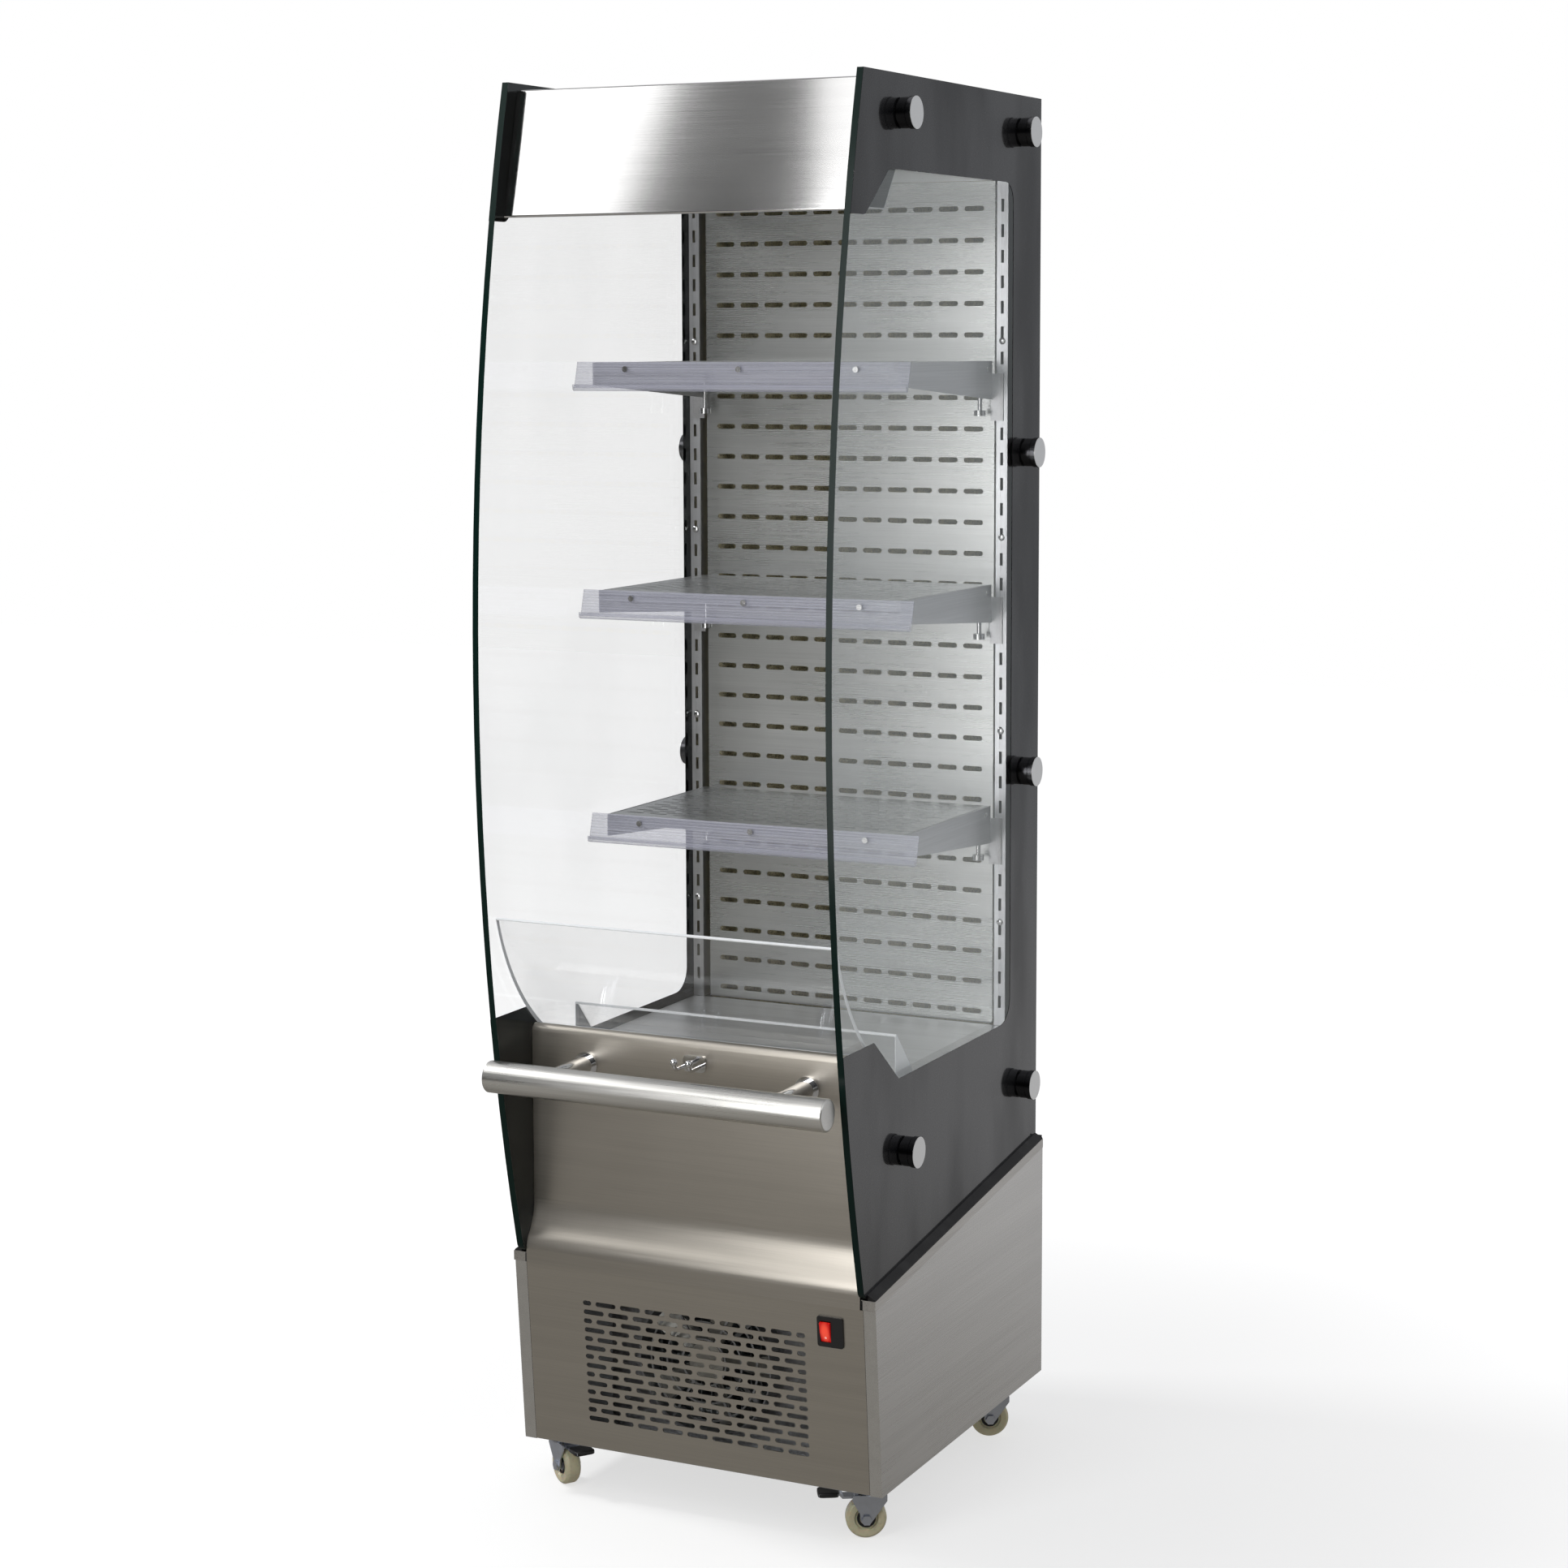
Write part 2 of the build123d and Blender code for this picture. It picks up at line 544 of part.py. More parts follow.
# rivets in the price strips and the thumb screws that lock the brackets
with BuildPart() as shelf_fasteners:
    for shelf_z, front_y in SHELVES.values():
        for x in RIVET_X:
            with BuildSketch(Plane.XZ.offset(-(front_y - 5.8))):
                with Locations((x, shelf_z - 8)):
                    Circle(3.6)
            extrude(amount=1.6)
        for side in (1, -1):
            with Locations((side * (ARM_X - 9), UPRIGHT_Y - 16, shelf_z - 66)):
                Cylinder(7.5, 7)
            with Locations((side * (ARM_X - 9), UPRIGHT_Y - 16, shelf_z - 46)):
                Cylinder(3, 34)
            with Locations((side * (ARM_X - 6.1), UPRIGHT_Y - 16, shelf_z - 36)):
                Box(12.2, 12, 3)
save(shelf_fasteners.part, "shelf_fasteners")

# ---------------------------------------------------------------- guard, well and deck
def slope_z(y):
    """Height of the well's front slope at depth y."""
    return SLOPE_Z - (y - SLOPE_Y) * math.tan(math.radians(SLOPE))


with BuildPart() as front_guard:
    with BuildSketch(Plane.YZ):
        with BuildLine():
            tail_y = GUARD_FOOT_Y + 20
            tail = Line((tail_y, slope_z(tail_y)), (GUARD_FOOT_Y, slope_z(GUARD_FOOT_Y)))
            JernArc(tail @ 1, tail % 1, GUARD_R, -GUARD_SWEEP)
            offset(amount=GUARD_T, side=Side.RIGHT)
        make_face()
    extrude(amount=STRIP_HALF, both=True)
save(front_guard.part, "front_guard")

WELL_HALF, WELL_FRONT_Y, WELL_FLOOR_Z = 222.0, -131.5, 404.0
with BuildPart() as well_liner:
    with BuildSketch(Plane.XY.offset(WELL_FLOOR_Z)):
        with Locations((0, (WELL_FRONT_Y + PANEL_Y - 2) / 2)):
            Rectangle(2 * WELL_HALF, PANEL_Y - 2 - WELL_FRONT_Y)
    extrude(amount=DECK_Z - 1.2 - WELL_FLOOR_Z)
    with BuildSketch(Plane.XY.offset(WELL_FLOOR_Z + 1.2)):
        with Locations((0, (WELL_FRONT_Y + PANEL_Y - 2) / 2)):
            Rectangle(2 * WELL_HALF - 2.4, PANEL_Y - 2 - WELL_FRONT_Y - 2.4)
    extrude(amount=DECK_Z, mode=Mode.SUBTRACT)
    with BuildSketch(Plane.XY.offset(DECK_Z - 2)):
        with Locations((0, WELL_FRONT_Y + 0.6)):
            Rectangle(2 * WELL_HALF, 1.2)
    extrude(amount=2.2)
    with BuildSketch(Plane.YZ):
        with BuildLine():
            Line((SLOPE_Y, SLOPE_Z), (WELL_FRONT_Y + 1.7, slope_z(WELL_FRONT_Y + 1.7)))
            offset(amount=1.2, side=Side.RIGHT)
        make_face()
    extrude(amount=INNER_HALF - 1, both=True)
save(well_liner.part, "well_liner")

with BuildPart() as deck_tray:
    with BuildSketch(Plane.XY.offset(DECK_Z)):
        tray_front, tray_rear = WELL_FRONT_Y + 2.2, UPRIGHT_Y - GAP
        with Locations((0, (tray_front + tray_rear) / 2)):
            Rectangle(2 * (INNER_HALF - 1), tray_rear - tray_front)
    extrude(amount=-1.2)
save(deck_tray.part, "deck_tray")

with BuildPart() as deck_fence:
    with BuildSketch(Plane.XZ.offset(-FENCE_Y)):
        with Locations((0, DECK_Z + FENCE_H / 2)):
            Rectangle(2 * WELL_HALF, FENCE_H)
    extrude(amount=-FENCE_T)
    for side in (1, -1):
        with BuildSketch(Plane.YZ.offset(side * WELL_HALF)):
            with BuildLine():
                rear = FENCE_Y + FENCE_T
                Polyline((rear, DECK_Z), (rear + 50, DECK_Z), (rear, DECK_Z + FENCE_H), close=True)
            make_face()
        extrude(amount=-side * FENCE_T)
    with BuildSketch(Plane.XY.offset(DECK_Z)):
        with Locations((0, FENCE_Y - 6)):
            Rectangle(2 * WELL_HALF, 12)
    extrude(amount=FENCE_T)
save(deck_fence.part, "deck_fence")


def finned_coil(centre, size, pitch, tube_rows, feet):
    """A heat exchanger: fins threaded on straight tubes, held by end plates that stand on the floor."""
    x, y, z = centre
    width, depth, height = size
    step = height / tube_rows
    with BuildPart() as coil:
        with Locations(centre):
            with GridLocations(pitch, 1, int(width // pitch) + 1, 1):
                Box(1.2, depth, height)
            with GridLocations(width + 8, 1, 2, 1):
                Box(1.6, depth, height + 2 * feet)
        with BuildSketch(Plane.YZ.offset(x)):
            with Locations((y, z)):
                with GridLocations(depth / 2, step, 2, tube_rows):
                    Circle(4)
        extrude(amount=width / 2 + 8, both=True)
    return coil.part


def axial_fan(centre, radius, hub_r, blades, depth):
    """A fan: a hub on the Y axis with pitched blades."""
    x, y, z = centre
    with BuildPart() as fan:
        with BuildSketch(Plane.XZ.offset(-(y + depth / 2))):
            with Locations((x, z)):
                Circle(hub_r)
        extrude(amount=depth)
        for index in range(blades):
            angle = math.radians(360 * index / blades)
            spoke = Plane(origin=centre, x_dir=(0, 1, 0), z_dir=(math.cos(angle), 0, math.sin(angle)))
            with BuildSketch(spoke.offset(hub_r - 2)):
                Rectangle(2, hub_r * 0.9, rotation=40)
            with BuildSketch(spoke.offset(radius)):
                Rectangle(1.6, hub_r * 1.5, rotation=22)
            loft()
    return fan.part


# ---------------------------------------------------------------- refrigeration
save(finned_coil((0, 150, 470), (380, 90, 70), 16, 3, 29.8), "evaporator_coil")

EVAP_FAN = (0.0, 60.0, 475.0)
save(axial_fan(EVAP_FAN, 50, 18, 5, 16), "evaporator_fan")

# a baffle across the well, with the fan's housing and motor spokes in the middle
with BuildPart() as evaporator_fan_frame:
    with BuildSketch(Plane.XZ.offset(-EVAP_FAN[1] - 14)):
        with Locations((0, (WELL_FLOOR_Z + DECK_Z) / 2)):
            Rectangle(2 * (WELL_HALF - 1.6), DECK_Z - WELL_FLOOR_Z - 3.2)
        with Locations((EVAP_FAN[0], EVAP_FAN[2])):
            Circle(54, mode=Mode.SUBTRACT)
    extrude(amount=1.6)
    with BuildSketch(Plane.XZ.offset(-EVAP_FAN[1] - 14)):
        with Locations((EVAP_FAN[0], EVAP_FAN[2])):
            Rectangle(122, 122)
            Circle(54, mode=Mode.SUBTRACT)
    extrude(amount=28)
    with BuildSketch(Plane.XZ.offset(-EVAP_FAN[1] - 14)):
        with Locations((EVAP_FAN[0], EVAP_FAN[2])):
            Circle(16)
            with PolarLocations(35, 4, start_angle=45):
                Rectangle(42, 5)
    extrude(amount=4)
save(evaporator_fan_frame.part, "evaporator_fan_frame")

COND_FAN = (-15.0, -135.0, 182.0)
save(axial_fan(COND_FAN, 84, 24, 5, 22), "condenser_fan")

with BuildPart() as condenser_shroud:
    with BuildSketch(Plane.XZ.offset(-COND_FAN[1] - 22)):
        with Locations((0, COND_FAN[2])):
            Rectangle(330, 2 * (COND_FAN[2] - BASE_Z - 2.2))
        with Locations((COND_FAN[0], COND_FAN[2])):
            Circle(90, mode=Mode.SUBTRACT)
            Circle(22)
            with PolarLocations(56, 4, start_angle=45):
                Rectangle(76, 6)
    extrude(amount=3)
    with BuildSketch(Plane.XZ.offset(-COND_FAN[1] - 19)):
        with Locations((COND_FAN[0], COND_FAN[2])):
            Circle(18)
    extrude(amount=7)
    with BuildSketch(Plane.XZ.offset(-COND_FAN[1] - 20)):
        with Locations((COND_FAN[0], COND_FAN[2])):
            Circle(92)
            Circle(90, mode=Mode.SUBTRACT)
    extrude(amount=36)
    for ring in (30, 52, 74):
        with BuildSketch(Plane.XZ.offset(-COND_FAN[1] + 15)):
            with Locations((COND_FAN[0], COND_FAN[2])):
                Circle(ring + 1.2)
                Circle(ring - 1.2, mode=Mode.SUBTRACT)
        extrude(amount=2.4)
    with BuildSketch(Plane.XZ.offset(-COND_FAN[1] + 15)):
        with Locations((COND_FAN[0], COND_FAN[2])):
            with PolarLocations(60, 6):
                Rectangle(64, 3)
    extrude(amount=2.4)
save(condenser_shroud.part, "condenser_shroud")

save(finned_coil((0, -80, 182), (310, 56, 200), 14, 6, 14), "condenser_coil")

with BuildPart() as compressor:
    centre = (70, 150)
    floor = BASE_Z + 2
    for foot_x in (-70, 70):
        with BuildSketch(Plane.XY.offset(floor)):
            with Locations((centre[0] + foot_x, centre[1])):
                with GridLocations(1, 120, 1, 2):
                    Circle(12)
        extrude(amount=14)
    with BuildSketch(Plane.XY.offset(floor + 14)):
        with Locations(centre):
            RectangleRounded(180, 150, 12)
    extrude(amount=3)
    with BuildSketch(Plane.XY.offset(floor + 17)):
        with Locations(centre):
            Ellipse(76, 62)
    shell = extrude(amount=160)
    fillet(shell.edges().group_by(Axis.Z)[-1], 34)
    with BuildSketch(Plane.XY.offset(floor + 95)):
        with Locations(centre):
            Ellipse(81, 67)
    extrude(amount=5)
save(compressor.part, "compressor")

# ---------------------------------------------------------------- rocker switch
switch_plane = Plane(origin=LEAN.from_local_coords((SWITCH_X, up_lean(SWITCH_Z), 0)), x_dir=(1, 0, 0),
                     z_dir=LEAN.z_dir)
PIVOT_DEPTH = 1.0                      # rocker's pin behind the panel's face
ROCKER_PIN_R, ROCKER_TILT = 1.5, 12.0
with BuildPart() as switch_housing:
    with BuildSketch(switch_plane):
        RectangleRounded(*BEZEL, 3)
    extrude(amount=2.2)
    with BuildSketch(switch_plane):
        Rectangle(BEZEL[0] - 4.6, BEZEL[1] - 4.6)
    extrude(amount=-26)
    with BuildSketch(switch_plane.offset(2.2)):
        with Locations((ROCKER_X, 0)):
            Rectangle(ROCKER[0] + 0.8, ROCKER[1] + 1.6)
    extrude(amount=-20, mode=Mode.SUBTRACT)
    pin_centre = switch_plane.from_local_coords((ROCKER_X, 0, -PIVOT_DEPTH))
    with BuildSketch(Plane(origin=pin_centre, x_dir=(0, 0, 1), z_dir=(1, 0, 0))):
        Circle(ROCKER_PIN_R)
    extrude(amount=ROCKER[0] / 2 + 2, both=True)
save(switch_housing.part, "switch_housing")

with BuildPart() as switch_rocker:
    rocker_plane = Plane(origin=switch_plane.from_local_coords((ROCKER_X - ROCKER[0] / 2, 0, -PIVOT_DEPTH)),
                         x_dir=LEAN.y_dir.rotate(Axis.X, ROCKER_TILT), z_dir=(1, 0, 0))
    with BuildSketch(rocker_plane):
        with BuildLine():
            end = ROCKER[1] / 2
            Polyline((-end, 4.2), (0, 5.4), (end, 4.2), (end, 0.5), (4, -6), (-4, -6), (-end, 0.5),
                     close=True)
        make_face()
        Circle(ROCKER_PIN_R + 0.06, mode=Mode.SUBTRACT)
    extrude(amount=ROCKER[0])
save(switch_rocker.part, "switch_rocker")

# ---------------------------------------------------------------- casters
PLATE_T, RACE_Z, FORK_TOP_Z, FORK_T = 2.5, 58.0, 55.0, 2.0
AXLE_R, KINGPIN_R, RUNNING = 4.0, 5.0, 0.05
KINGPIN_Z = 51.0
PIN_AHEAD, PIN_Z, PIN_R = 12.0, 51.5, 2.5      # brake pin ahead of the axle and above the floor
with BuildPart() as caster_plates:
    for x, y, heading, brake in CASTERS.values():
        with BuildSketch(Plane.XY.offset(BASE_Z)):
            with Locations((x, y)):
                RectangleRounded(50, 50, 4)
        extrude(amount=-PLATE_T)
        with BuildSketch(Plane.XY.offset(BASE_Z - PLATE_T)):
            with Locations((x, y)):
                Circle(17)
        extrude(amount=-(BASE_Z - PLATE_T - RACE_Z))
        with BuildSketch(Plane.XY.offset(RACE_Z)):
            with Locations((x, y)):
                Circle(KINGPIN_R)
        extrude(amount=-(RACE_Z - KINGPIN_Z))
        with BuildSketch(Plane.XY.offset(FORK_TOP_Z - FORK_T - 0.3)):
            with Locations((x, y)):
                Circle(8)
        extrude(amount=-(FORK_TOP_Z - FORK_T - 0.3 - KINGPIN_Z))
save(caster_plates.part, "caster_plates")

for caster, (x, y, heading, brake) in CASTERS.items():
    ahead = (math.cos(math.radians(heading)), math.sin(math.radians(heading)))
    across = (-ahead[1], ahead[0])
    hub = (x + TRAIL * ahead[0], y + TRAIL * ahead[1], WHEEL_R)
    axle_plane = Plane(origin=hub, x_dir=(ahead[0], ahead[1], 0), z_dir=(across[0], across[1], 0))
    up = axle_plane.y_dir.Z

    with BuildPart() as wheel:
        with BuildSketch(axle_plane):
            Circle(WHEEL_R)
        extrude(amount=WHEEL_T / 2, both=True)
        fillet(wheel.edges().filter_by(GeomType.CIRCLE), 3.5)
        for face_side in (1, -1):
            with BuildSketch(axle_plane.offset(face_side * WHEEL_T / 2)):
                Circle(14)
                Circle(7.5, mode=Mode.SUBTRACT)
            extrude(amount=-face_side * 3, mode=Mode.SUBTRACT)
        with BuildSketch(axle_plane):
            Circle(AXLE_R + RUNNING)
        extrude(amount=WHEEL_T, both=True, mode=Mode.SUBTRACT)
    save(wheel.part, f"caster_wheel_{caster}")

    with BuildPart() as fork:
        cheek = WHEEL_T / 2 + 1.2
        top = up * (FORK_TOP_Z - WHEEL_R)
        nose = 17 if brake else 9
        for face_side in (1, -1):
            with BuildSketch(axle_plane.offset(face_side * cheek)):
                with BuildLine():
                    Polyline((-TRAIL - 15, top), (nose, top), (nose, top - up * 7), (8.5, up * 8),
                             (7, -up * 2), (3, -up * 7), (-3, -up * 7), (-7, -up * 2),
                             (-TRAIL - 15, top - up * 7), close=True)
                make_face()
            extrude(amount=face_side * FORK_T)
        with BuildSketch(Plane.XY.offset(FORK_TOP_Z)):
            with Locations(Location((x, y, 0), (0, 0, heading))):
                with Locations((-2, 0)):
                    Rectangle(26, 2 * (cheek + FORK_T))
                Circle(16)
                Circle(KINGPIN_R + RUNNING, mode=Mode.SUBTRACT)
        extrude(amount=-FORK_T)
        with BuildSketch(Plane.XY.offset(RACE_Z - 0.3)):
            with Locations((x, y)):
                Circle(15)
                Circle(KINGPIN_R + RUNNING, mode=Mode.SUBTRACT)
        extrude(amount=-(RACE_Z - 0.3 - FORK_TOP_Z))
        with BuildSketch(axle_plane):
            Circle(AXLE_R)
            if brake:
                with Locations((PIN_AHEAD, up * (PIN_Z - WHEEL_R))):
                    Circle(PIN_R)
        extrude(amount=cheek + FORK_T, both=True)
        for face_side in (1, -1):
            with BuildSketch(axle_plane.offset(face_side * (cheek + FORK_T))):
                RegularPolygon(6.5, 6)
            extrude(amount=face_side * 3.5)
    save(fork.part, f"caster_fork_{caster}")

    if brake:
        # lever on the fork's pin, running out under the base to a broad pedal
        with BuildPart() as lever:
            pin = (PIN_AHEAD, up * (PIN_Z - WHEEL_R))
            with BuildSketch(axle_plane):
                with Locations(pin):
                    Circle(3.3)
                with BuildLine():
                    Polyline((PIN_AHEAD, up * 25.2), (29, up * 25.2), (33, up * 29.5), (36, up * 29.5),
                             (36, up * 32.5), (32, up * 32.5), (27.5, up * 27.8), (PIN_AHEAD, up * 27.8),
                             close=True)
                make_face()
                with Locations(pin):
                    Circle(PIN_R + RUNNING, mode=Mode.SUBTRACT)
            extrude(amount=8, both=True)
            with BuildSketch(axle_plane):
                with Locations((46, up * 31)):
                    RectangleRounded(24, 4, 1.5)
            extrude(amount=12, both=True)
        save(lever.part, f"caster_brake_{caster}")
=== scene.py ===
"""Looks of an open-front refrigerated display case: finishes, small fittings, night blind, studio and camera.

Metres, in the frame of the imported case: X to the right, Y to the back, Z up from the floor.
"""
import json
import math

import bmesh
import bpy
import numpy as np
from mathutils import Matrix, Vector


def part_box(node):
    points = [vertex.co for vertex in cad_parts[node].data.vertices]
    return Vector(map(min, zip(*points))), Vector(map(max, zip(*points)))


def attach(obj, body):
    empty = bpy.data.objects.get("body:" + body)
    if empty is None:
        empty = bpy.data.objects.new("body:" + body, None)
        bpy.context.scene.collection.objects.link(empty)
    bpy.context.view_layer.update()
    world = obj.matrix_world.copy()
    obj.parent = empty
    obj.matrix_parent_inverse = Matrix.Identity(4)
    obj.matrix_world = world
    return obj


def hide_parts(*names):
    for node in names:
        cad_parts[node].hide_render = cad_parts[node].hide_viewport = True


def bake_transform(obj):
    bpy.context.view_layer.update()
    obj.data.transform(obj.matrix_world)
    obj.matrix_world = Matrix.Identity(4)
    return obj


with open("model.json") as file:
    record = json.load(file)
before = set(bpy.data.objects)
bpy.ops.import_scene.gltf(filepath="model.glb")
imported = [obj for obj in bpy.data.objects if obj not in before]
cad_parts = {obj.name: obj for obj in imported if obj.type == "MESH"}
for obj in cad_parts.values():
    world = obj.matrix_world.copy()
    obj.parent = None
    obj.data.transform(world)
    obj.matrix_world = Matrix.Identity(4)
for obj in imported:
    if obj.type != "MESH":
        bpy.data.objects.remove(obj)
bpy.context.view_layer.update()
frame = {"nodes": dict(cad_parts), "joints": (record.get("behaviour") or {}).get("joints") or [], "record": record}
MM = 0.001


# ---------------------------------------------------------------- shader helpers
class Value:
    """A number inside a shader. Expressions on it add Math nodes to the tree it belongs to."""

    def __init__(self, owner, socket):
        self.owner = owner
        self.socket = socket

    def maths(self, operation, *numbers):
        inputs = dict(enumerate(numbers))
        return self.owner.node("Math", {"operation": operation}, inputs).out()

    def __add__(self, other):
        return self.maths("ADD", self, other)

    def __radd__(self, other):
        return self.maths("ADD", other, self)

    def __sub__(self, other):
        return self.maths("SUBTRACT", self, other)

    def __rsub__(self, other):
        return self.maths("SUBTRACT", other, self)

    def __mul__(self, other):
        return self.maths("MULTIPLY", self, other)

    def __rmul__(self, other):
        return self.maths("MULTIPLY", other, self)

    def __truediv__(self, other):
        return self.maths("DIVIDE", self, other)

    def __rtruediv__(self, other):
        return self.maths("DIVIDE", other, self)

    def __pow__(self, other):
        return self.maths("POWER", self, other)

    def __gt__(self, other):
        return self.maths("GREATER_THAN", self, other)

    def __lt__(self, other):
        return self.maths("LESS_THAN", self, other)

    def size(self):
        return self.maths("ABSOLUTE", self)

    def sine(self):
        return self.maths("SINE", self)

    def either(self, other):
        return self.maths("MAXIMUM", self, other)

    def both(self, other):
        return self.maths("MINIMUM", self, other)

    def ease(self, low, high):
        """0 below low and 1 above high, eased between; falling where low is above high."""
        inputs = {"Value": self, "From Min": low, "From Max": high}
        return self.owner.node("MapRange", {"interpolation_type": "SMOOTHSTEP"}, inputs).out()


class Added:
    """A node that a tree has gained, with its outputs at hand."""

    def __init__(self, owner, node):
        self.owner = owner
        self.outputs = node.outputs

    def out(self, name=0):
        return Value(self.owner, self.outputs[name])


class Tree:
    """A tree of shader nodes, with one way to add a node and one to fill a socket."""

    def __init__(self, tree):
        self.tree = tree

    def node(self, kind, settings=None, inputs=None):
        """Adds a node of that kind: settings first, then the values or links of its sockets."""
        made = self.tree.nodes.new("ShaderNode" + kind)
        for name, setting in (settings or {}).items():
            setattr(made, name, setting)
        for name, value in (inputs or {}).items():
            self.plug(made.inputs[name], value)
        return Added(self, made)

    def plug(self, socket, value):
        if isinstance(value, Value):
            self.tree.links.new(value.socket, socket)
        elif socket.type == "RGBA" and len(value) == 3:
            socket.default_value = (*value, 1.0)
        else:
            socket.default_value = value

    def between(self, first, second, share):
        """The first colour where share is 0 and the second where it is 1."""
        return self.node("Mix", {"data_type": "RGBA"}, {0: share, 6: first, 7: second}).out(2)


class Finish(Tree):
    """A material: one Principled shader, and the nodes that vary it in Object coordinates."""

    def __init__(self, name, colour, rough, metal=0.0, **sockets):
        self.material = bpy.data.materials.new(name)
        self.material.use_nodes = True
        super().__init__(self.material.node_tree)
        self.shader = self.tree.nodes["Principled BSDF"]
        self.set("Base Color", colour)
        self.set("Roughness", rough)
        self.set("Metallic", metal)
        for socket, value in sockets.items():
            self.set(socket.replace("_", " "), value)

    def set(self, socket, value):
        self.plug(self.shader.inputs[socket], value)

    def place(self):
        """Object coordinates."""
        return self.node("TexCoord").out("Object")

    def axes(self):
        """Object coordinates as three numbers."""
        parts = self.node("SeparateXYZ", inputs={0: self.place()})
        return parts.out("X"), parts.out("Y"), parts.out("Z")

    def stretched(self, scale):
        """Object coordinates times a scale for each axis."""
        scaled = self.node("VectorMath", {"operation": "MULTIPLY"}, {0: self.place(), 1: scale})
        return scaled.out()

    def noise(self, scale, detail=2.0):
        """Noise from 0 to 1, with a scale for each axis, per metre."""
        inputs = {"Vector": self.stretched(scale), "Scale": 1.0, "Detail": detail, "Roughness": 0.5}
        return self.node("TexNoise", inputs=inputs).out(0)

    def cells(self, scale):
        """Distance to the nearest point of a scattered set, with a scale for each axis, per metre."""
        inputs = {"Vector": self.stretched(scale), "Scale": 1.0, "Randomness": 1.0}
        return self.node("TexVoronoi", inputs=inputs).out("Distance")

    def mirror_share(self, straight_on):
        """How much a clear surface mirrors: r + (1 - r) (1 - cos angle)^5, with r its share straight on."""
        slant = self.node("LayerWeight", inputs={"Blend": 0.5}).out("Facing")
        return straight_on + (1 - straight_on) * slant**5

    def relief(self, height, depth, strength=1.0):
        """Bumps the surface by a height from 0 to 1, depth metres at 1."""
        bump = self.node("Bump", inputs={"Height": height, "Distance": depth, "Strength": strength})
        self.set("Normal", bump.out("Normal"))


def tinted(colour, factor):
    """A colour times a factor, no channel past 1."""
    return tuple(min(channel * factor, 1.0) for channel in colour)


# ---------------------------------------------------------------- finishes
def scratched(name, colour, rough, along="X", contrast=0.10, metal=1.0, uneven=1.0, **sockets):
    """Sheet steel: fine long scratches along one axis, slow drifts of shade, and faint dull patches. A metal
    share under 1 leaves some scatter, as a coarse brushing does; uneven scales how much the gloss varies."""
    fine_scale, broad_scale = [700.0] * 3, [70.0] * 3
    axis = "XYZ".index(along)
    fine_scale[axis], broad_scale[axis] = 7.0, 1.5
    f = Finish(name, colour, rough, metal=metal, **sockets)
    fine = f.noise(fine_scale, detail=3.0)
    broad = f.noise(broad_scale, detail=2.0)
    patches = f.noise([4.0, 4.0, 4.0], detail=3.0).ease(0.35, 0.75)
    shade = (fine * 0.55 + broad * 0.45).ease(0.3, 0.7)
    f.set("Base Color", f.between(tinted(colour, 1 - contrast), tinted(colour, 1 + contrast), shade))
    f.set("Roughness", rough + 0.16 * uneven * (fine - 0.5) + 0.07 * uneven * patches)
    f.relief(fine, 0.00012, 0.5 * uneven)
    return f.material


def polished(name, colour, rough):
    """Chrome: nearly a mirror, with a trace of haze."""
    f = Finish(name, colour, rough, metal=1.0)
    haze = f.noise([90.0, 90.0, 90.0], detail=3.0)
    f.set("Roughness", rough + 0.10 * haze.ease(0.45, 0.8))
    f.set("Base Color", f.between(tinted(colour, 0.92), colour, haze))
    return f.material


def zinc_plate(name, colour):
    """Bright zinc on pressed steel: mottled bluish grey with fine pores."""
    f = Finish(name, colour, 0.32, metal=1.0)
    mottle = f.noise([160.0, 160.0, 160.0], detail=4.0)
    drift = f.noise([25.0, 25.0, 25.0])
    f.set("Base Color", f.between(tinted(colour, 0.72), tinted(colour, 1.1), mottle * 0.6 + drift * 0.4))
    f.set("Roughness", 0.24 + 0.22 * mottle)
    f.relief(mottle, 0.0001, 0.4)
    return f.material


def galvanised_sheet(name, colour):
    """Galvanised sheet: large pale spangles, each of its own grey."""
    f = Finish(name, colour, 0.45, metal=0.9)
    flakes = f.node("TexVoronoi", inputs={"Vector": f.stretched([75.0, 75.0, 75.0]), "Scale": 1.0})
    grey = f.node("SeparateColor", inputs={0: flakes.out("Color")}).out(0)
    f.set("Base Color", f.between(tinted(colour, 0.82), tinted(colour, 1.12), grey))
    f.set("Roughness", 0.36 + 0.2 * grey)
    return f.material


def moulded(name, colour, rough, grain=0.00006, scale=1100.0):
    """Moulded plastic: an even colour with a fine leathery grain and a few rubbed spots."""
    f = Finish(name, colour, rough)
    pebble = f.cells([scale, scale, scale])
    rubbed = f.noise([30.0, 30.0, 30.0], detail=3.0).ease(0.45, 0.8)
    f.set("Base Color", f.between(colour, tinted(colour, 1.25), rubbed * 0.5))
    f.set("Roughness", rough - 0.12 * rubbed)
    f.relief(pebble, grain, 0.6)
    return f.material


PRINT_BLACK, PRINT_DUST = (0.004, 0.004, 0.005), (0.045, 0.047, 0.053)


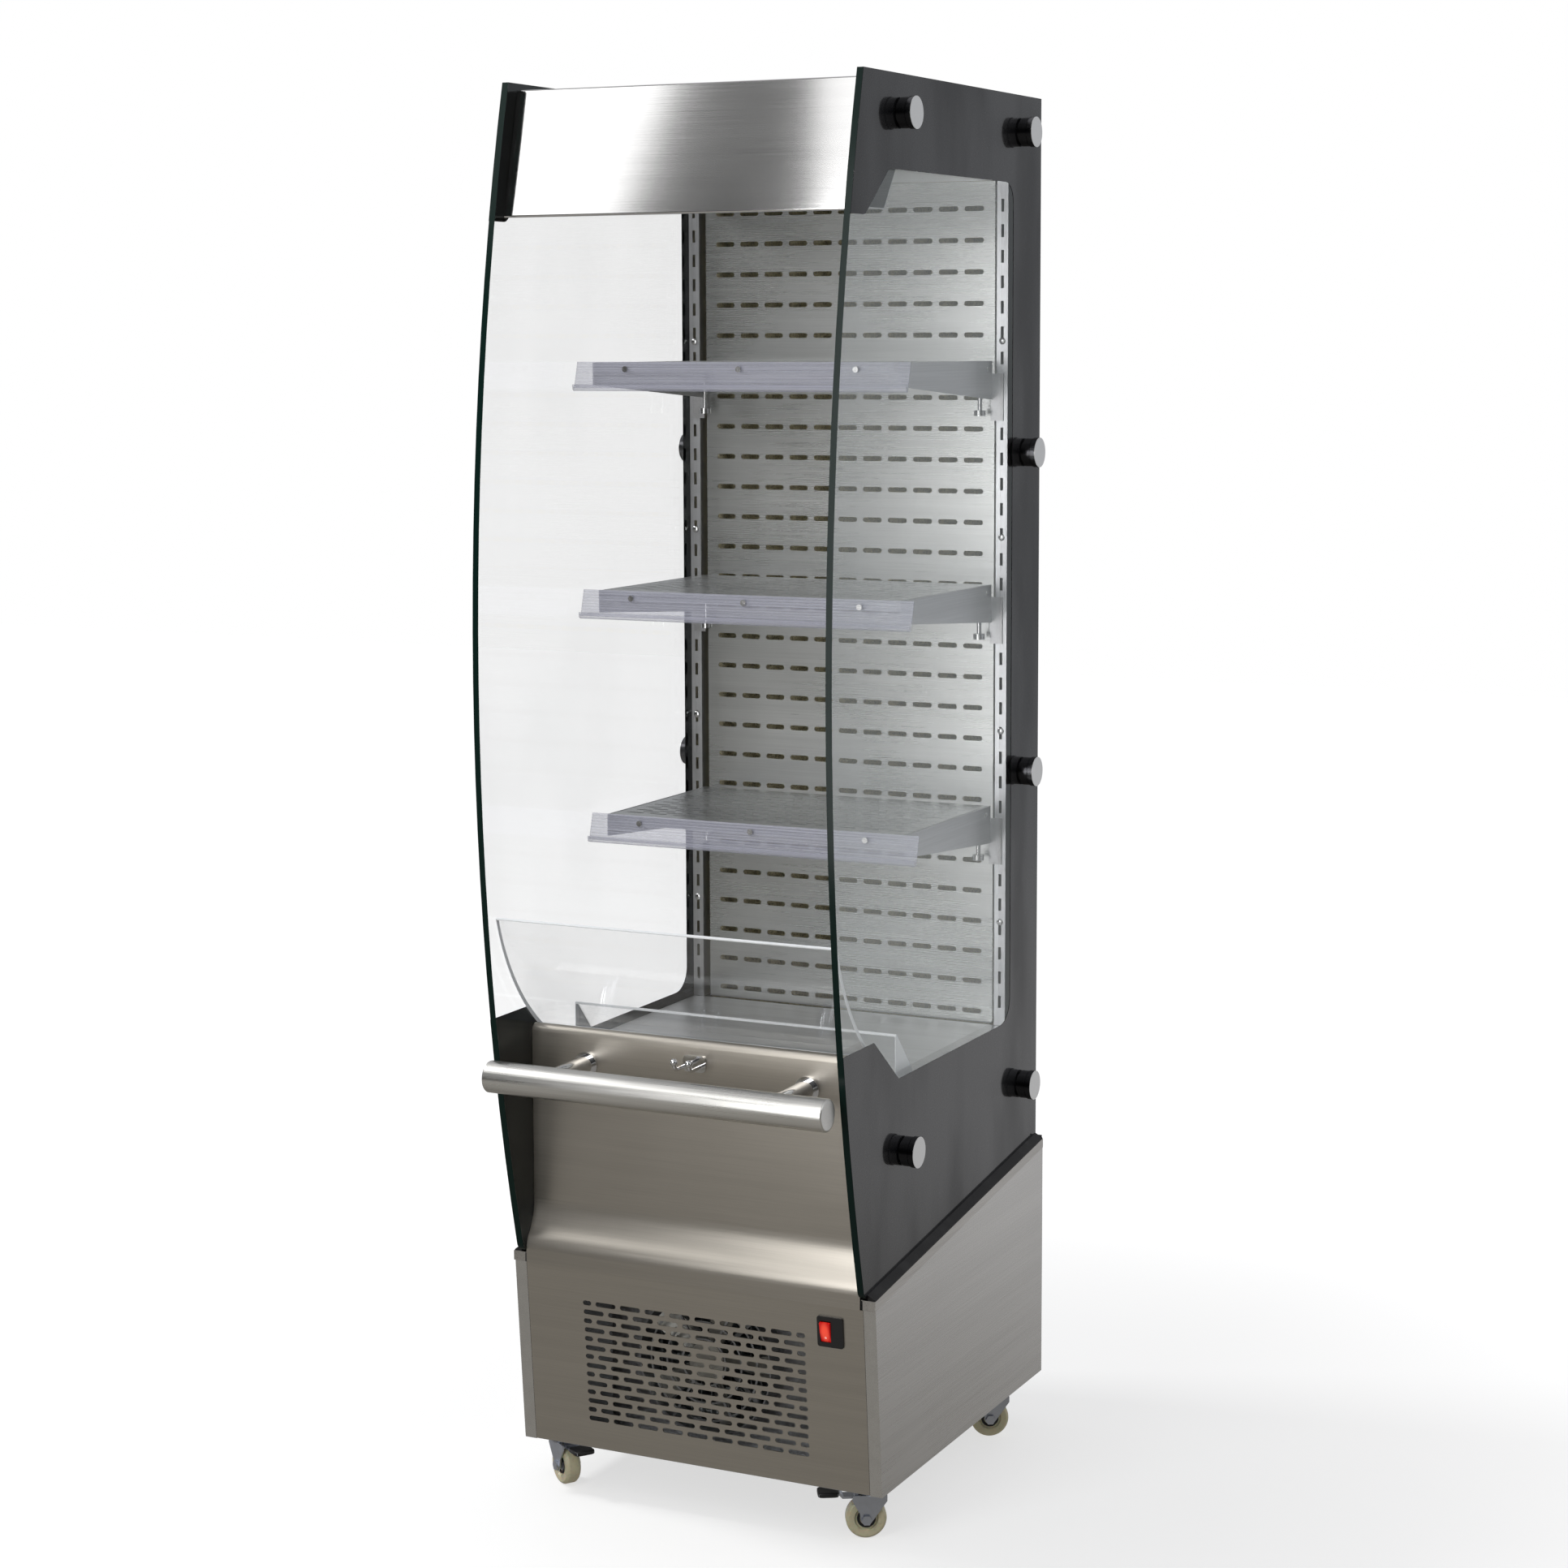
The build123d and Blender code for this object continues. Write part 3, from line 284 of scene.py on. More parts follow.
def fired_print(name):
    """Black enamel fired on glass: deep and glossy with a little dust outside, flat black inside."""
    f = Finish(name, PRINT_BLACK, 0.5, Specular_IOR_Level=0.08, Coat_Roughness=0.08, Coat_IOR=1.5)
    normal = f.node("SeparateXYZ", inputs={0: f.node("TexCoord").out("Normal")})
    outside = normal.out("X") * f.axes()[0] > 0
    dust = f.noise([240.0, 240.0, 240.0], detail=4.0).ease(0.55, 0.85)
    smear = f.noise([9.0, 9.0, 3.0], detail=3.0).ease(0.4, 0.75)
    f.set("Base Color", f.between(PRINT_BLACK, PRINT_DUST, dust * 0.4 * outside + 0.08 * outside))
    f.set("Roughness", 0.42 + 0.2 * smear)
    f.set("Coat Weight", outside * (1 - 0.25 * smear))
    return f.material


CLEAR_ROUGH = 0.03
GLASS_MIRROR = 0.04


def clear_sheet(name, tint, edge, edge_colour, veil):
    """A clear sheet with coloured edges: dark on the side glass, its own colour there, and white on the acrylic, a
    painted highlight there. Its faces let light through, apart from what they mirror and a thin even veil. edge is
    a function of the finish that gives 1 on the sheet's edges."""
    f = Finish(name, tint, CLEAR_ROUGH, metal=1.0, Specular_IOR_Level=0.15)
    rim = edge(f)
    smear = f.noise([7.0, 7.0, 4.0], detail=4.0).ease(0.45, 0.8)
    mirror = f.mirror_share(GLASS_MIRROR)
    f.set("Base Color", f.between(tint, edge_colour, rim))
    f.set("Metallic", 1 - rim)
    f.set("Roughness", CLEAR_ROUGH + 0.05 * smear + 0.15 * rim)
    f.set("Alpha", rim.either(mirror * 0.9 + veil * (0.7 + 0.6 * smear)))
    return f.material


def facing_edge(f):
    """1 where the surface faces along the depth or the height, not across the case."""
    normal = f.node("SeparateXYZ", inputs={0: f.node("TexCoord").out("Normal")})
    return normal.out("X").size() < 0.5


END_EDGE, TOP_EDGE = 0.7 * MM, 2.6 * MM


def highlight_band(half_width, top):
    """An edge mask for a painted highlight: 1 within a hair of the sheet's two ends and of its top."""
    def mask(f):
        x, _, z = f.axes()
        return (x.size() > half_width - END_EDGE).either(z > top - TOP_EDGE)
    return mask


THREADS = 5200.0


def woven(name, colour):
    """Metallised blind fabric: a square weave of fine threads, THREADS radians of it to a metre."""
    f = Finish(name, colour, 0.55, metal=0.25, Sheen_Weight=0.2)
    x, y, z = f.axes()
    warp, weft = (x * THREADS).sine(), (z * THREADS + y * THREADS).sine()
    weave = (warp * weft) * 0.5 + 0.5
    f.set("Base Color", f.between(tinted(colour, 0.75), colour, weave))
    f.relief(weave, 0.0002, 0.5)
    return f.material


def cream_tyre(name):
    """Cream polyurethane: slightly see-through, with scuffs that hold dirt."""
    colour, yellowed, dirt = (0.80, 0.74, 0.50), (0.70, 0.66, 0.46), (0.42, 0.38, 0.26)
    f = Finish(name, colour, 0.34, Subsurface_Weight=0.25, Subsurface_Scale=0.004)
    scuffs = f.noise([260.0, 260.0, 260.0], detail=4.0).ease(0.5, 0.78)
    drift = f.noise([60.0, 60.0, 60.0], detail=2.0)
    f.set("Base Color", f.between(f.between(colour, yellowed, drift), dirt, scuffs * 0.35))
    f.set("Roughness", 0.28 + 0.25 * scuffs)
    f.relief(scuffs, 0.00008, 0.5)
    return f.material


def ribbed_strip(name):
    """Clear label holder with a violet cast and streaks along it, thinner and thicker."""
    colour = (0.50, 0.51, 0.64)
    f = Finish(name, colour, 0.12)
    streaks = f.noise([3.0, 900.0, 900.0], detail=2.0)
    mirror = f.mirror_share(0.05)
    f.set("Base Color", f.between(tinted(colour, 0.7), (0.80, 0.81, 0.92), streaks))
    f.set("Alpha", (0.18 + 0.3 * streaks + mirror).both(1.0))
    return f.material


def lit_rocker(name):
    """Red translucent rocker with its lamp behind it, hotter towards the middle, and a small pale dot."""
    low, high = (Vector(corner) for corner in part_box("switch_rocker"))
    middle = (low + high) / 2
    red, pale = (0.75, 0.02, 0.015), (0.95, 0.85, 0.82)
    f = Finish(name, red, 0.22, Emission_Strength=0.55)
    x, _, z = f.axes()
    across, upward = (x - middle.x) / (high.x - low.x), (z - middle.z) / (high.z - low.z)
    spread = across * across * 2.2 + upward * upward * 1.6
    f.set("Emission Color", f.between((1.0, 0.12, 0.06), (0.35, 0.0, 0.0), spread.ease(0.02, 0.6)))
    dot_height = upward + 0.28
    dot = (across * across + dot_height * dot_height * 3.2) < 0.012
    f.set("Base Color", f.between(red, pale, dot))
    return f.material


def enamelled(name, colour, rough):
    """Sprayed enamel with orange peel."""
    f = Finish(name, colour, rough, Coat_Weight=0.3)
    peel = f.noise([420.0, 420.0, 420.0], detail=2.0)
    f.set("Roughness", rough + 0.15 * peel)
    f.set("Base Color", f.between(colour, tinted(colour, 1.6), peel * 0.5))
    f.relief(peel, 0.0001, 0.4)
    return f.material


def foamed(name, colour):
    """Cut insulation foam: small open cells, each a dent with painted shade in it."""
    f = Finish(name, colour, 0.9)
    pores = f.cells([420.0, 420.0, 420.0])
    # Darker towards each cell's centre: painted shade in the dents that the relief below makes.
    f.set("Base Color", f.between(tinted(colour, 0.6), colour, pores.ease(0.1, 0.6)))
    f.relief(pores, 0.0006, 0.8)
    return f.material


def cap_with_painted_reflection(name):
    """Stand-off cap: a satin outer face, and polished sides whose dark colour is a painted reflection of the dark
    glass print around them.
    """
    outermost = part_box("glass_bolts")[1][0]
    f = Finish(name, (0.7, 0.7, 0.7), 0.2, metal=1.0)
    face = f.axes()[0].size() > outermost - 0.5 * MM
    lathe = f.noise([500.0, 500.0, 500.0], detail=2.0)
    # The dark base colour on the chrome sides is a painted reflection, not the metal's own colour.
    f.set("Base Color", f.between((0.14, 0.14, 0.15), (0.95, 0.95, 0.94), face))
    f.set("Roughness", 0.12 + 0.26 * face + 0.1 * lathe)
    return f.material


GUARD_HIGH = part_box("front_guard")[1]
FENCE_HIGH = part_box("deck_fence")[1]

FINISHES = {
    "glass": clear_sheet("side_glass", (0.90, 0.95, 0.94), facing_edge, (0.004, 0.016, 0.013), 0.045),
    "black_print": fired_print("fired_print"),
    "bolt_caps": cap_with_painted_reflection("cap_steel_painted_reflection"),
    "galvanised": galvanised_sheet("galvanised", (0.60, 0.61, 0.62)),
    "side_skin": scratched("side_skin_steel", (0.68, 0.67, 0.65), 0.26, along="Y", contrast=0.05, uneven=0.5),
    "trim_steel": scratched("trim_steel", (0.62, 0.60, 0.57), 0.30, along="Y"),
    "rubber": moulded("gasket_rubber", (0.010, 0.010, 0.011), 0.55, grain=0.0001, scale=700.0),
    "front_steel": scratched("front_steel", (0.53, 0.495, 0.44), 0.34, along="X", contrast=0.05, uneven=0.6),
    "black_plastic": moulded("black_plastic", (0.016, 0.016, 0.017), 0.42),
    "bar_steel": scratched("handle_steel", (0.78, 0.77, 0.74), 0.27, along="X", contrast=0.07),
    "chrome": polished("chrome", (0.82, 0.82, 0.83), 0.09),
    "canopy_steel": scratched("canopy_steel", (0.86, 0.855, 0.85), 0.10, along="X", contrast=0.03,
                              uneven=0.2),
    "interior_steel": scratched("interior_steel", (0.60, 0.61, 0.61), 0.30, along="X", metal=0.85),
    "lamp_white": moulded("lamp_diffuser", (0.85, 0.85, 0.84), 0.4),
    "blind_fabric": woven("blind_fabric", (0.72, 0.73, 0.75)),
    "aluminium": scratched("anodised_bar", (0.78, 0.78, 0.79), 0.33, along="X", contrast=0.06),
    "foam": foamed("foam", (0.85, 0.78, 0.55)),
    "back_steel": scratched("back_steel", (0.68, 0.69, 0.68), 0.27, along="X", contrast=0.06, metal=0.80,
                            uneven=0.4),
    "upright_steel": scratched("upright_steel", (0.74, 0.75, 0.77), 0.34, along="Z", contrast=0.07),
    "coil": scratched("coil_fins", (0.50, 0.53, 0.53), 0.42, along="Z", contrast=0.25),
    "fan_plastic": moulded("fan_plastic", (0.03, 0.03, 0.033), 0.45),
    "fan_metal": galvanised_sheet("fan_blades", (0.62, 0.61, 0.56)),
    "black_enamel": enamelled("compressor_enamel", (0.012, 0.012, 0.013), 0.3),
    "red_rocker": lit_rocker("lit_rocker"),
    "zinc": zinc_plate("bright_zinc", (0.62, 0.65, 0.72)),
    "fasteners": polished("nickel_fasteners", (0.62, 0.62, 0.62), 0.22),
    "shelf_steel": scratched("shelf_steel", (0.52, 0.53, 0.53), 0.26, along="X", metal=0.9),
    "bracket_steel": scratched("bracket_steel", (0.58, 0.58, 0.59), 0.36, along="Y"),
    "clear_strip": ribbed_strip("label_holder"),
    "caster_tread": cream_tyre("cream_tyre"),
}
# The acrylic guard and fence get a white band on their top and ends: a painted highlight of light caught in the
# edges.
GUARD_FINISH = clear_sheet("guard_acrylic", (0.93, 0.95, 0.98), highlight_band(GUARD_HIGH[0], GUARD_HIGH[2]),
                           (0.93, 0.95, 0.97), 0.05)
FENCE_FINISH = clear_sheet("fence_acrylic", (0.93, 0.95, 0.98), highlight_band(FENCE_HIGH[0], FENCE_HIGH[2]),
                           (0.93, 0.95, 0.97), 0.04)


def dress(node, material):
    """Gives a CAD node its finish, in every material slot it has."""
    for material_slot in frame["nodes"][node].material_slots:
        material_slot.material = material


for subpart in frame["record"]["subparts"]:
    dress(subpart["node"], FINISHES.get(subpart["material_slot"], GUARD_FINISH))
dress("deck_fence", FENCE_FINISH)


# ---------------------------------------------------------------- surfaces
def piece(name, points, faces, material, body, smooth=True):
    """A mesh of those points and faces, its faces turned outwards, riding on a body."""
    mesh = bpy.data.meshes.new(name)
    mesh.from_pydata(points.reshape(-1, 3).tolist(), [], faces)
    work = bmesh.new()
    work.from_mesh(mesh)
    bmesh.ops.recalc_face_normals(work, faces=work.faces)
    work.to_mesh(mesh)
    work.free()
    mesh.polygons.foreach_set("use_smooth", [smooth] * len(mesh.polygons))
    made = bpy.data.objects.new(name, mesh)
    bpy.context.scene.collection.objects.link(made)
    made.data.materials.append(material)
    if body:
        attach(made, body)
    return made


def grid_faces(rows, columns, start=0, close_rows=False, close_columns=False):
    """The quads of a grid of points, numbered row by row from start, closed on itself where asked."""
    row, column = np.meshgrid(np.arange(rows - (not close_rows)), np.arange(columns - (not close_columns)),
                              indexing="ij")
    row, column = row.ravel(), column.ravel()
    below, right = (row + 1) % rows, (column + 1) % columns
    corners = (row * columns + column, below * columns + column,
               below * columns + right, row * columns + right)
    return (np.stack(corners, axis=1) + start).tolist()


def square_to(axis):
    """Two unit vectors square to an axis and to each other."""
    axis = np.array(axis, float)
    helper = np.array((0.0, 0.0, 1.0)) if abs(axis[2]) < 0.9 else np.array((1.0, 0.0, 0.0))
    side = np.cross(helper, axis)
    side /= np.linalg.norm(side)
    return side, np.cross(axis, side)


def turned(profile, places, steps=32, ring=False):
    """Points and faces of a turned shape at each (centre, axis) place. The profile's point (r, h) at angle a
    is at centre + h axis + r (cos a side + sin a up). A ring's profile closes on itself; any other is capped
    at both ends."""
    profile = np.array(profile, float)
    angle = np.linspace(0, 2 * math.pi, steps, endpoint=False)
    shapes, faces = [], []
    for count, (centre, axis) in enumerate(places):
        side, up = square_to(axis)
        round_part = np.cos(angle)[:, None] * side + np.sin(angle)[:, None] * up
        shape = (np.array(centre) + profile[:, 1, None, None] * np.array(axis, float)
                 + profile[:, 0, None, None] * round_part[None])
        start = count * len(profile) * steps
        faces += grid_faces(len(profile), steps, start, close_rows=ring, close_columns=True)
        if not ring:
            faces.append(list(range(start, start + steps)))
            last = start + (len(profile) - 1) * steps
            faces.append(list(range(last, last + steps)))
        shapes.append(shape)
    return np.concatenate([shape.reshape(-1, 3) for shape in shapes]), faces


HEAD_FOOT, HEAD_SPAN = 0.4 * MM, math.radians(84)


def dome(radius, height, rows=5):
    """Profile of a low round head: r = radius cos t and h = height sin t, for t from 0 to HEAD_SPAN, with a
    straight foot HEAD_FOOT deep."""
    t = np.linspace(0, HEAD_SPAN, rows)
    head = np.stack([radius * np.cos(t), height * np.sin(t)], axis=1)
    return np.concatenate([[[radius, -HEAD_FOOT]], head])


def prism(outline, low_x, high_x):
    """Points and faces of a (y, z) outline carried straight from low_x to high_x, closed at both ends."""
    outline = np.array(outline, float)
    count = len(outline)
    ends = [np.column_stack([np.full(count, x), outline]) for x in (low_x, high_x)]
    faces = grid_faces(2, count, close_columns=True)
    faces += [list(range(count)), list(range(count, 2 * count))]
    return np.stack(ends), faces


def pillow(centre, directions, halves, power=0.35, steps=28):
    """Points and faces of a rounded block: with c(t) = sign(cos t) |cos t|^power and s(t) likewise, the point
    at (u, v) is centre + a c(v) c(u) d1 + b c(v) s(u) d2 + d s(v) d3, for u all round and v up to a step
    short of each pole, where a flat face closes it."""
    def eased(values):
        return np.sign(values) * np.abs(values) ** power
    u = np.linspace(0, 2 * math.pi, steps, endpoint=False)
    v = np.linspace(-math.pi / 2, math.pi / 2, steps // 2)[1:-1]
    u, v = np.meshgrid(u, v)
    waist = eased(np.cos(v))
    local = np.stack([waist * eased(np.cos(u)), waist * eased(np.sin(u)), eased(np.sin(v))], axis=-1)
    local = local * np.array(halves)
    points = np.array(centre) + local @ np.array(directions)
    rows = points.shape[0]
    faces = grid_faces(rows, steps, close_columns=True)
    faces += [list(range(steps)), list(range((rows - 1) * steps, rows * steps))]
    return points, faces


# ---------------------------------------------------------------- label holders on the shelf fronts
RIB_PITCH, RIB_DEPTH, RIB_POINTS = 3.6 * MM, 0.45 * MM, 81
LEAF = 1.5 * MM
LEAF_FOOT = 7 * MM                     # from the strip's foot up to the ribbed leaf
FOOT_SETBACK = 9.6 * MM                # from the leaf's top back edge forward to its foot
LEAN_SHARE = 0.82                      # how much of that setback the ribbed leaf takes up


def label_holder(name):
    """A leaning clear leaf with fine ribs, a hooked foot and a thin flap, all carried across the shelf's
    front. The leaf's front face is a straight line pushed out by RIB_DEPTH times |sin| of the way along
    it."""
    low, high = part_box(name)
    top_y, foot_y, lip_y = high[1], high[1] - FOOT_SETBACK, low[1]
    top_z, foot_z = high[2], low[2]
    way = np.linspace(0, 1, RIB_POINTS)
    height = top_z - foot_z - LEAF_FOOT
    ribs = RIB_DEPTH * np.abs(np.sin(math.pi * way * height / RIB_PITCH))
    front_y = top_y - LEAF - way * (top_y - foot_y) * LEAN_SHARE - ribs
    front_z = top_z - way * height
    front = np.stack([front_y, front_z], axis=1)
    foot = np.array([
        (foot_y - 2.2 * MM, foot_z + 5.2 * MM), (foot_y - 3.6 * MM, foot_z + 3.6 * MM),
        (lip_y + 1.4 * MM, foot_z + 8.0 * MM), (lip_y, foot_z + 8.0 * MM),
        (lip_y + 0.4 * MM, foot_z + 2.0 * MM), (foot_y - 2.0 * MM, foot_z),
        (foot_y, foot_z + 0.6 * MM), (top_y, top_z),
    ])
    points, faces = prism(np.concatenate([front, foot]), low[0], high[0])
    made = piece(name + "_clear", points, faces, FINISHES["clear_strip"], "cabinet",
                 smooth=False)
    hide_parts(name)


SHELVES = ("top", "middle", "bottom")
for shelf in SHELVES:
    label_holder(f"shelf_{shelf}_price_strip")


# ---------------------------------------------------------------- screws and rivets
UPRIGHT_X = 220.6 * MM                 # middle of an upright
SCREW_PITCH, SCREW_TOP = 249.5 * MM, 1437 * MM
upright_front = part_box("uprights")[0][1]
screws = [((side * UPRIGHT_X, upright_front, SCREW_TOP - k * SCREW_PITCH), (0, -1, 0))
          for side in (1, -1) for k in range(4)]
points, faces = turned(dome(4.6 * MM, 1.8 * MM), screws)
piece("upright_screws", points, faces, FINISHES["fasteners"], "cabinet")

ARM_X = 208 * MM                       # outer face of a bracket's arm
RIVET_DROP, RIVET_FROM_FRONT, RIVET_FROM_BACK = 10 * MM, 12 * MM, 14 * MM
rivets = []
for shelf in SHELVES:
    plate_low, plate_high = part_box(f"shelf_{shelf}")
    for side in (1, -1):
        for depth in (plate_low[1] + RIVET_FROM_FRONT, plate_high[1] - RIVET_FROM_BACK):
            rivets.append(((side * ARM_X, depth, plate_high[2] - RIVET_DROP), (side, 0, 0)))
points, faces = turned(dome(3.2 * MM, 1.3 * MM), rivets, steps=24)
piece("bracket_rivets", points, faces, FINISHES["fasteners"], "cabinet")

EDGE_INSET, FROM_TOP = 10 * MM, 25 * MM


def edge_screws(node, from_foot, count):
    """Places down both edges of a panel on the back."""
    low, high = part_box(node)
    return [((side * (high[0] - EDGE_INSET), high[1], z), (0, 1, 0))
            for side in (1, -1) for z in np.linspace(low[2] + from_foot, high[2] - FROM_TOP, count)]


back_screws = edge_screws("rear_panel", 30 * MM, 6) + edge_screws("rear_service_panel", 20 * MM, 2)
points, faces = turned(dome(4.0 * MM, 0.9 * MM), back_screws, steps=24)
piece("back_screws", points, faces, FINISHES["fasteners"], "cabinet")


# ---------------------------------------------------------------- casters
CORNER_SHARE = 0.45                    # the most of a side that one rounded corner takes


def loop(corners, radius, steps=5):
    """A closed profile through those corners, each rounded: a curve (1-t)^2 A + 2t(1-t) C + t^2 B, from A,
    radius before a corner C, to B, radius after it."""
    corners = np.array(corners, float)
    t = np.linspace(0, 1, steps)[:, None]
    rounded = []
    for before, corner, after in zip(np.roll(corners, 1, axis=0), corners, np.roll(corners, -1, axis=0)):
        reach_in = min(radius, CORNER_SHARE * np.linalg.norm(before - corner))
        reach_out = min(radius, CORNER_SHARE * np.linalg.norm(after - corner))
        start = corner + (before - corner) / np.linalg.norm(before - corner) * reach_in
        end = corner + (after - corner) / np.linalg.norm(after - corner) * reach_out
        rounded.append((1 - t) ** 2 * start + 2 * t * (1 - t) * corner + t**2 * end)
    return np.concatenate(rounded)


# profiles as (radius, distance along the axle), in millimetres: tyre with its web, seal rings, hub rings
TYRE = loop([(4.2, 7.2), (13.6, 7.2), (14.4, 9.6), (22.0, 9.9), (24.9, 6.4), (24.9, -6.4), (22.0, -9.9),
             (14.4, -9.6), (13.6, -7.2), (4.2, -7.2)], 1.2) * MM
SEAL = [loop([(8.2, face * 7.0), (11.6, face * 7.0), (11.4, face * 8.4), (8.4, face * 8.4)], 0.5) * MM
        for face in (1, -1)]
HUB = [loop([(4.3, face * 7.0), (7.6, face * 7.0), (7.2, face * 8.0), (4.3, face * 8.6)], 0.5) * MM
       for face in (1, -1)]


def joint_place(name):
    """A joint's pivot and its unit axis, in metres."""
    joint = next(j for j in frame["joints"] if j["name"] == name)
    return joint["pos_m"], joint["axis"]


def both_sides(profiles, place, steps=40):
    """Points and faces of the same ring on each side of a wheel."""
    shapes = [turned(profile, [place], steps=steps, ring=True) for profile in profiles]
    shift = len(shapes[0][0])
    faces = shapes[0][1] + [[corner + shift for corner in face] for face in shapes[1][1]]
    return np.concatenate([points for points, _ in shapes]), faces


for corner in ("front_right", "front_left", "rear_right", "rear_left"):
    place, body = joint_place(f"wheel_{corner}"), f"wheel_{corner}"
    points, faces = turned(TYRE, [place], steps=64, ring=True)
    tyre = piece(f"tyre_{corner}", points, faces, FINISHES["caster_tread"], body)
    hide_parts(f"caster_wheel_{corner}")
    points, faces = both_sides(SEAL, place)
    piece(f"wheel_seal_{corner}", points, faces, FINISHES["rubber"], body)
    points, faces = both_sides(HUB, place)
    piece(f"wheel_hub_{corner}", points, faces, FINISHES["zinc"], body)

PEDAL_REACH, PEDAL_RISE = 34 * MM, 4.5 * MM
PEDAL_HALVES = (13 * MM, 13.5 * MM, 3.0 * MM)
for corner in ("front_right", "front_left"):
    pivot, across = joint_place(f"brake_{corner}")
    ahead = np.array((across[1], -across[0], 0.0))
    centre = np.array(pivot) + PEDAL_REACH * ahead + (0, 0, PEDAL_RISE)
    points, faces = pillow(centre, [ahead, across, (0, 0, 1)], PEDAL_HALVES)
    piece(f"brake_pedal_{corner}", points, faces, FINISHES["black_plastic"], f"brake_{corner}")


# ---------------------------------------------------------------- night blind
roller_low, roller_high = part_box("blind_roller")
bar_low, bar_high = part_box("blind_bar")
CLOTH_INSET, CLOTH_OFF_ROLLER, TUCK = 1 * MM, 0.3 * MM, 1 * MM
CLOTH_HALF = roller_high[0] - CLOTH_INSET
cloth_top = np.array((roller_low[1] - CLOTH_OFF_ROLLER, (roller_low[2] + roller_high[2]) / 2))
cloth_foot = np.array(((bar_low[1] + bar_high[1]) / 2, bar_high[2] - TUCK))


def hanging_cloth(rows=48, columns=24):
    """The free part of the blind: a flat sheet, (1 - s) top + s foot at share s, ruled across the case."""
    share, across = np.meshgrid(np.linspace(0, 1, rows), np.linspace(-CLOTH_HALF, CLOTH_HALF, columns),
                                indexing="ij")
    line = (1 - share)[..., None] * cloth_top + share[..., None] * cloth_foot
    return np.concatenate([across[..., None], line], axis=-1), grid_faces(rows, columns)


points, faces = hanging_cloth()
blind = piece("blind_cloth", points, faces, FINISHES["blind_fabric"], None)
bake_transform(blind)


# ---------------------------------------------------------------- floor, light and camera
FLOOR_HALF = 9.0
floor_points = np.array([(-1, -1, 0), (1, -1, 0), (1, 1, 0), (-1, 1, 0)], float) * FLOOR_HALF
floor_mesh = bpy.data.meshes.new("floor")
floor_mesh.from_pydata(floor_points.tolist(), [], [(0, 1, 2, 3)])
floor = bpy.data.objects.new("floor", floor_mesh)
bpy.context.scene.collection.objects.link(floor)
floor_finish = Finish("pale_floor", (0.42, 0.42, 0.42), 0.6, Specular_IOR_Level=0.1)
floor_finish.set("Roughness", 0.5 + 0.2 * floor_finish.noise([3.0, 3.0, 3.0]))
across, depth, _ = floor_finish.axes()
GLOW_NEAR, GLOW_FAR, GLOW_REACH = (0.62, 0.62, 0.62), (0.84, 0.84, 0.84), 1.6
away = (across * across + depth * depth).ease(0.05, GLOW_REACH**2)
floor_finish.set("Emission Color", floor_finish.between(GLOW_NEAR, GLOW_FAR, away))
floor_finish.set("Emission Strength", 1.0)
floor.data.materials.append(floor_finish.material)
floor.visible_diffuse = floor.visible_glossy = False


ROOM_LOW, ROOM_RIM = (0.20, 0.19, 0.175), (0.60, 0.60, 0.61)
ROOM_LEVEL, ROOM_HIGH = (0.42, 0.43, 0.45), (0.50, 0.50, 0.51)
FRONT_LOW, FRONT_LEVEL, FRONT_HIGH = (0.29, 0.28, 0.262), (0.03, 0.03, 0.03), (0.22, 0.22, 0.22)


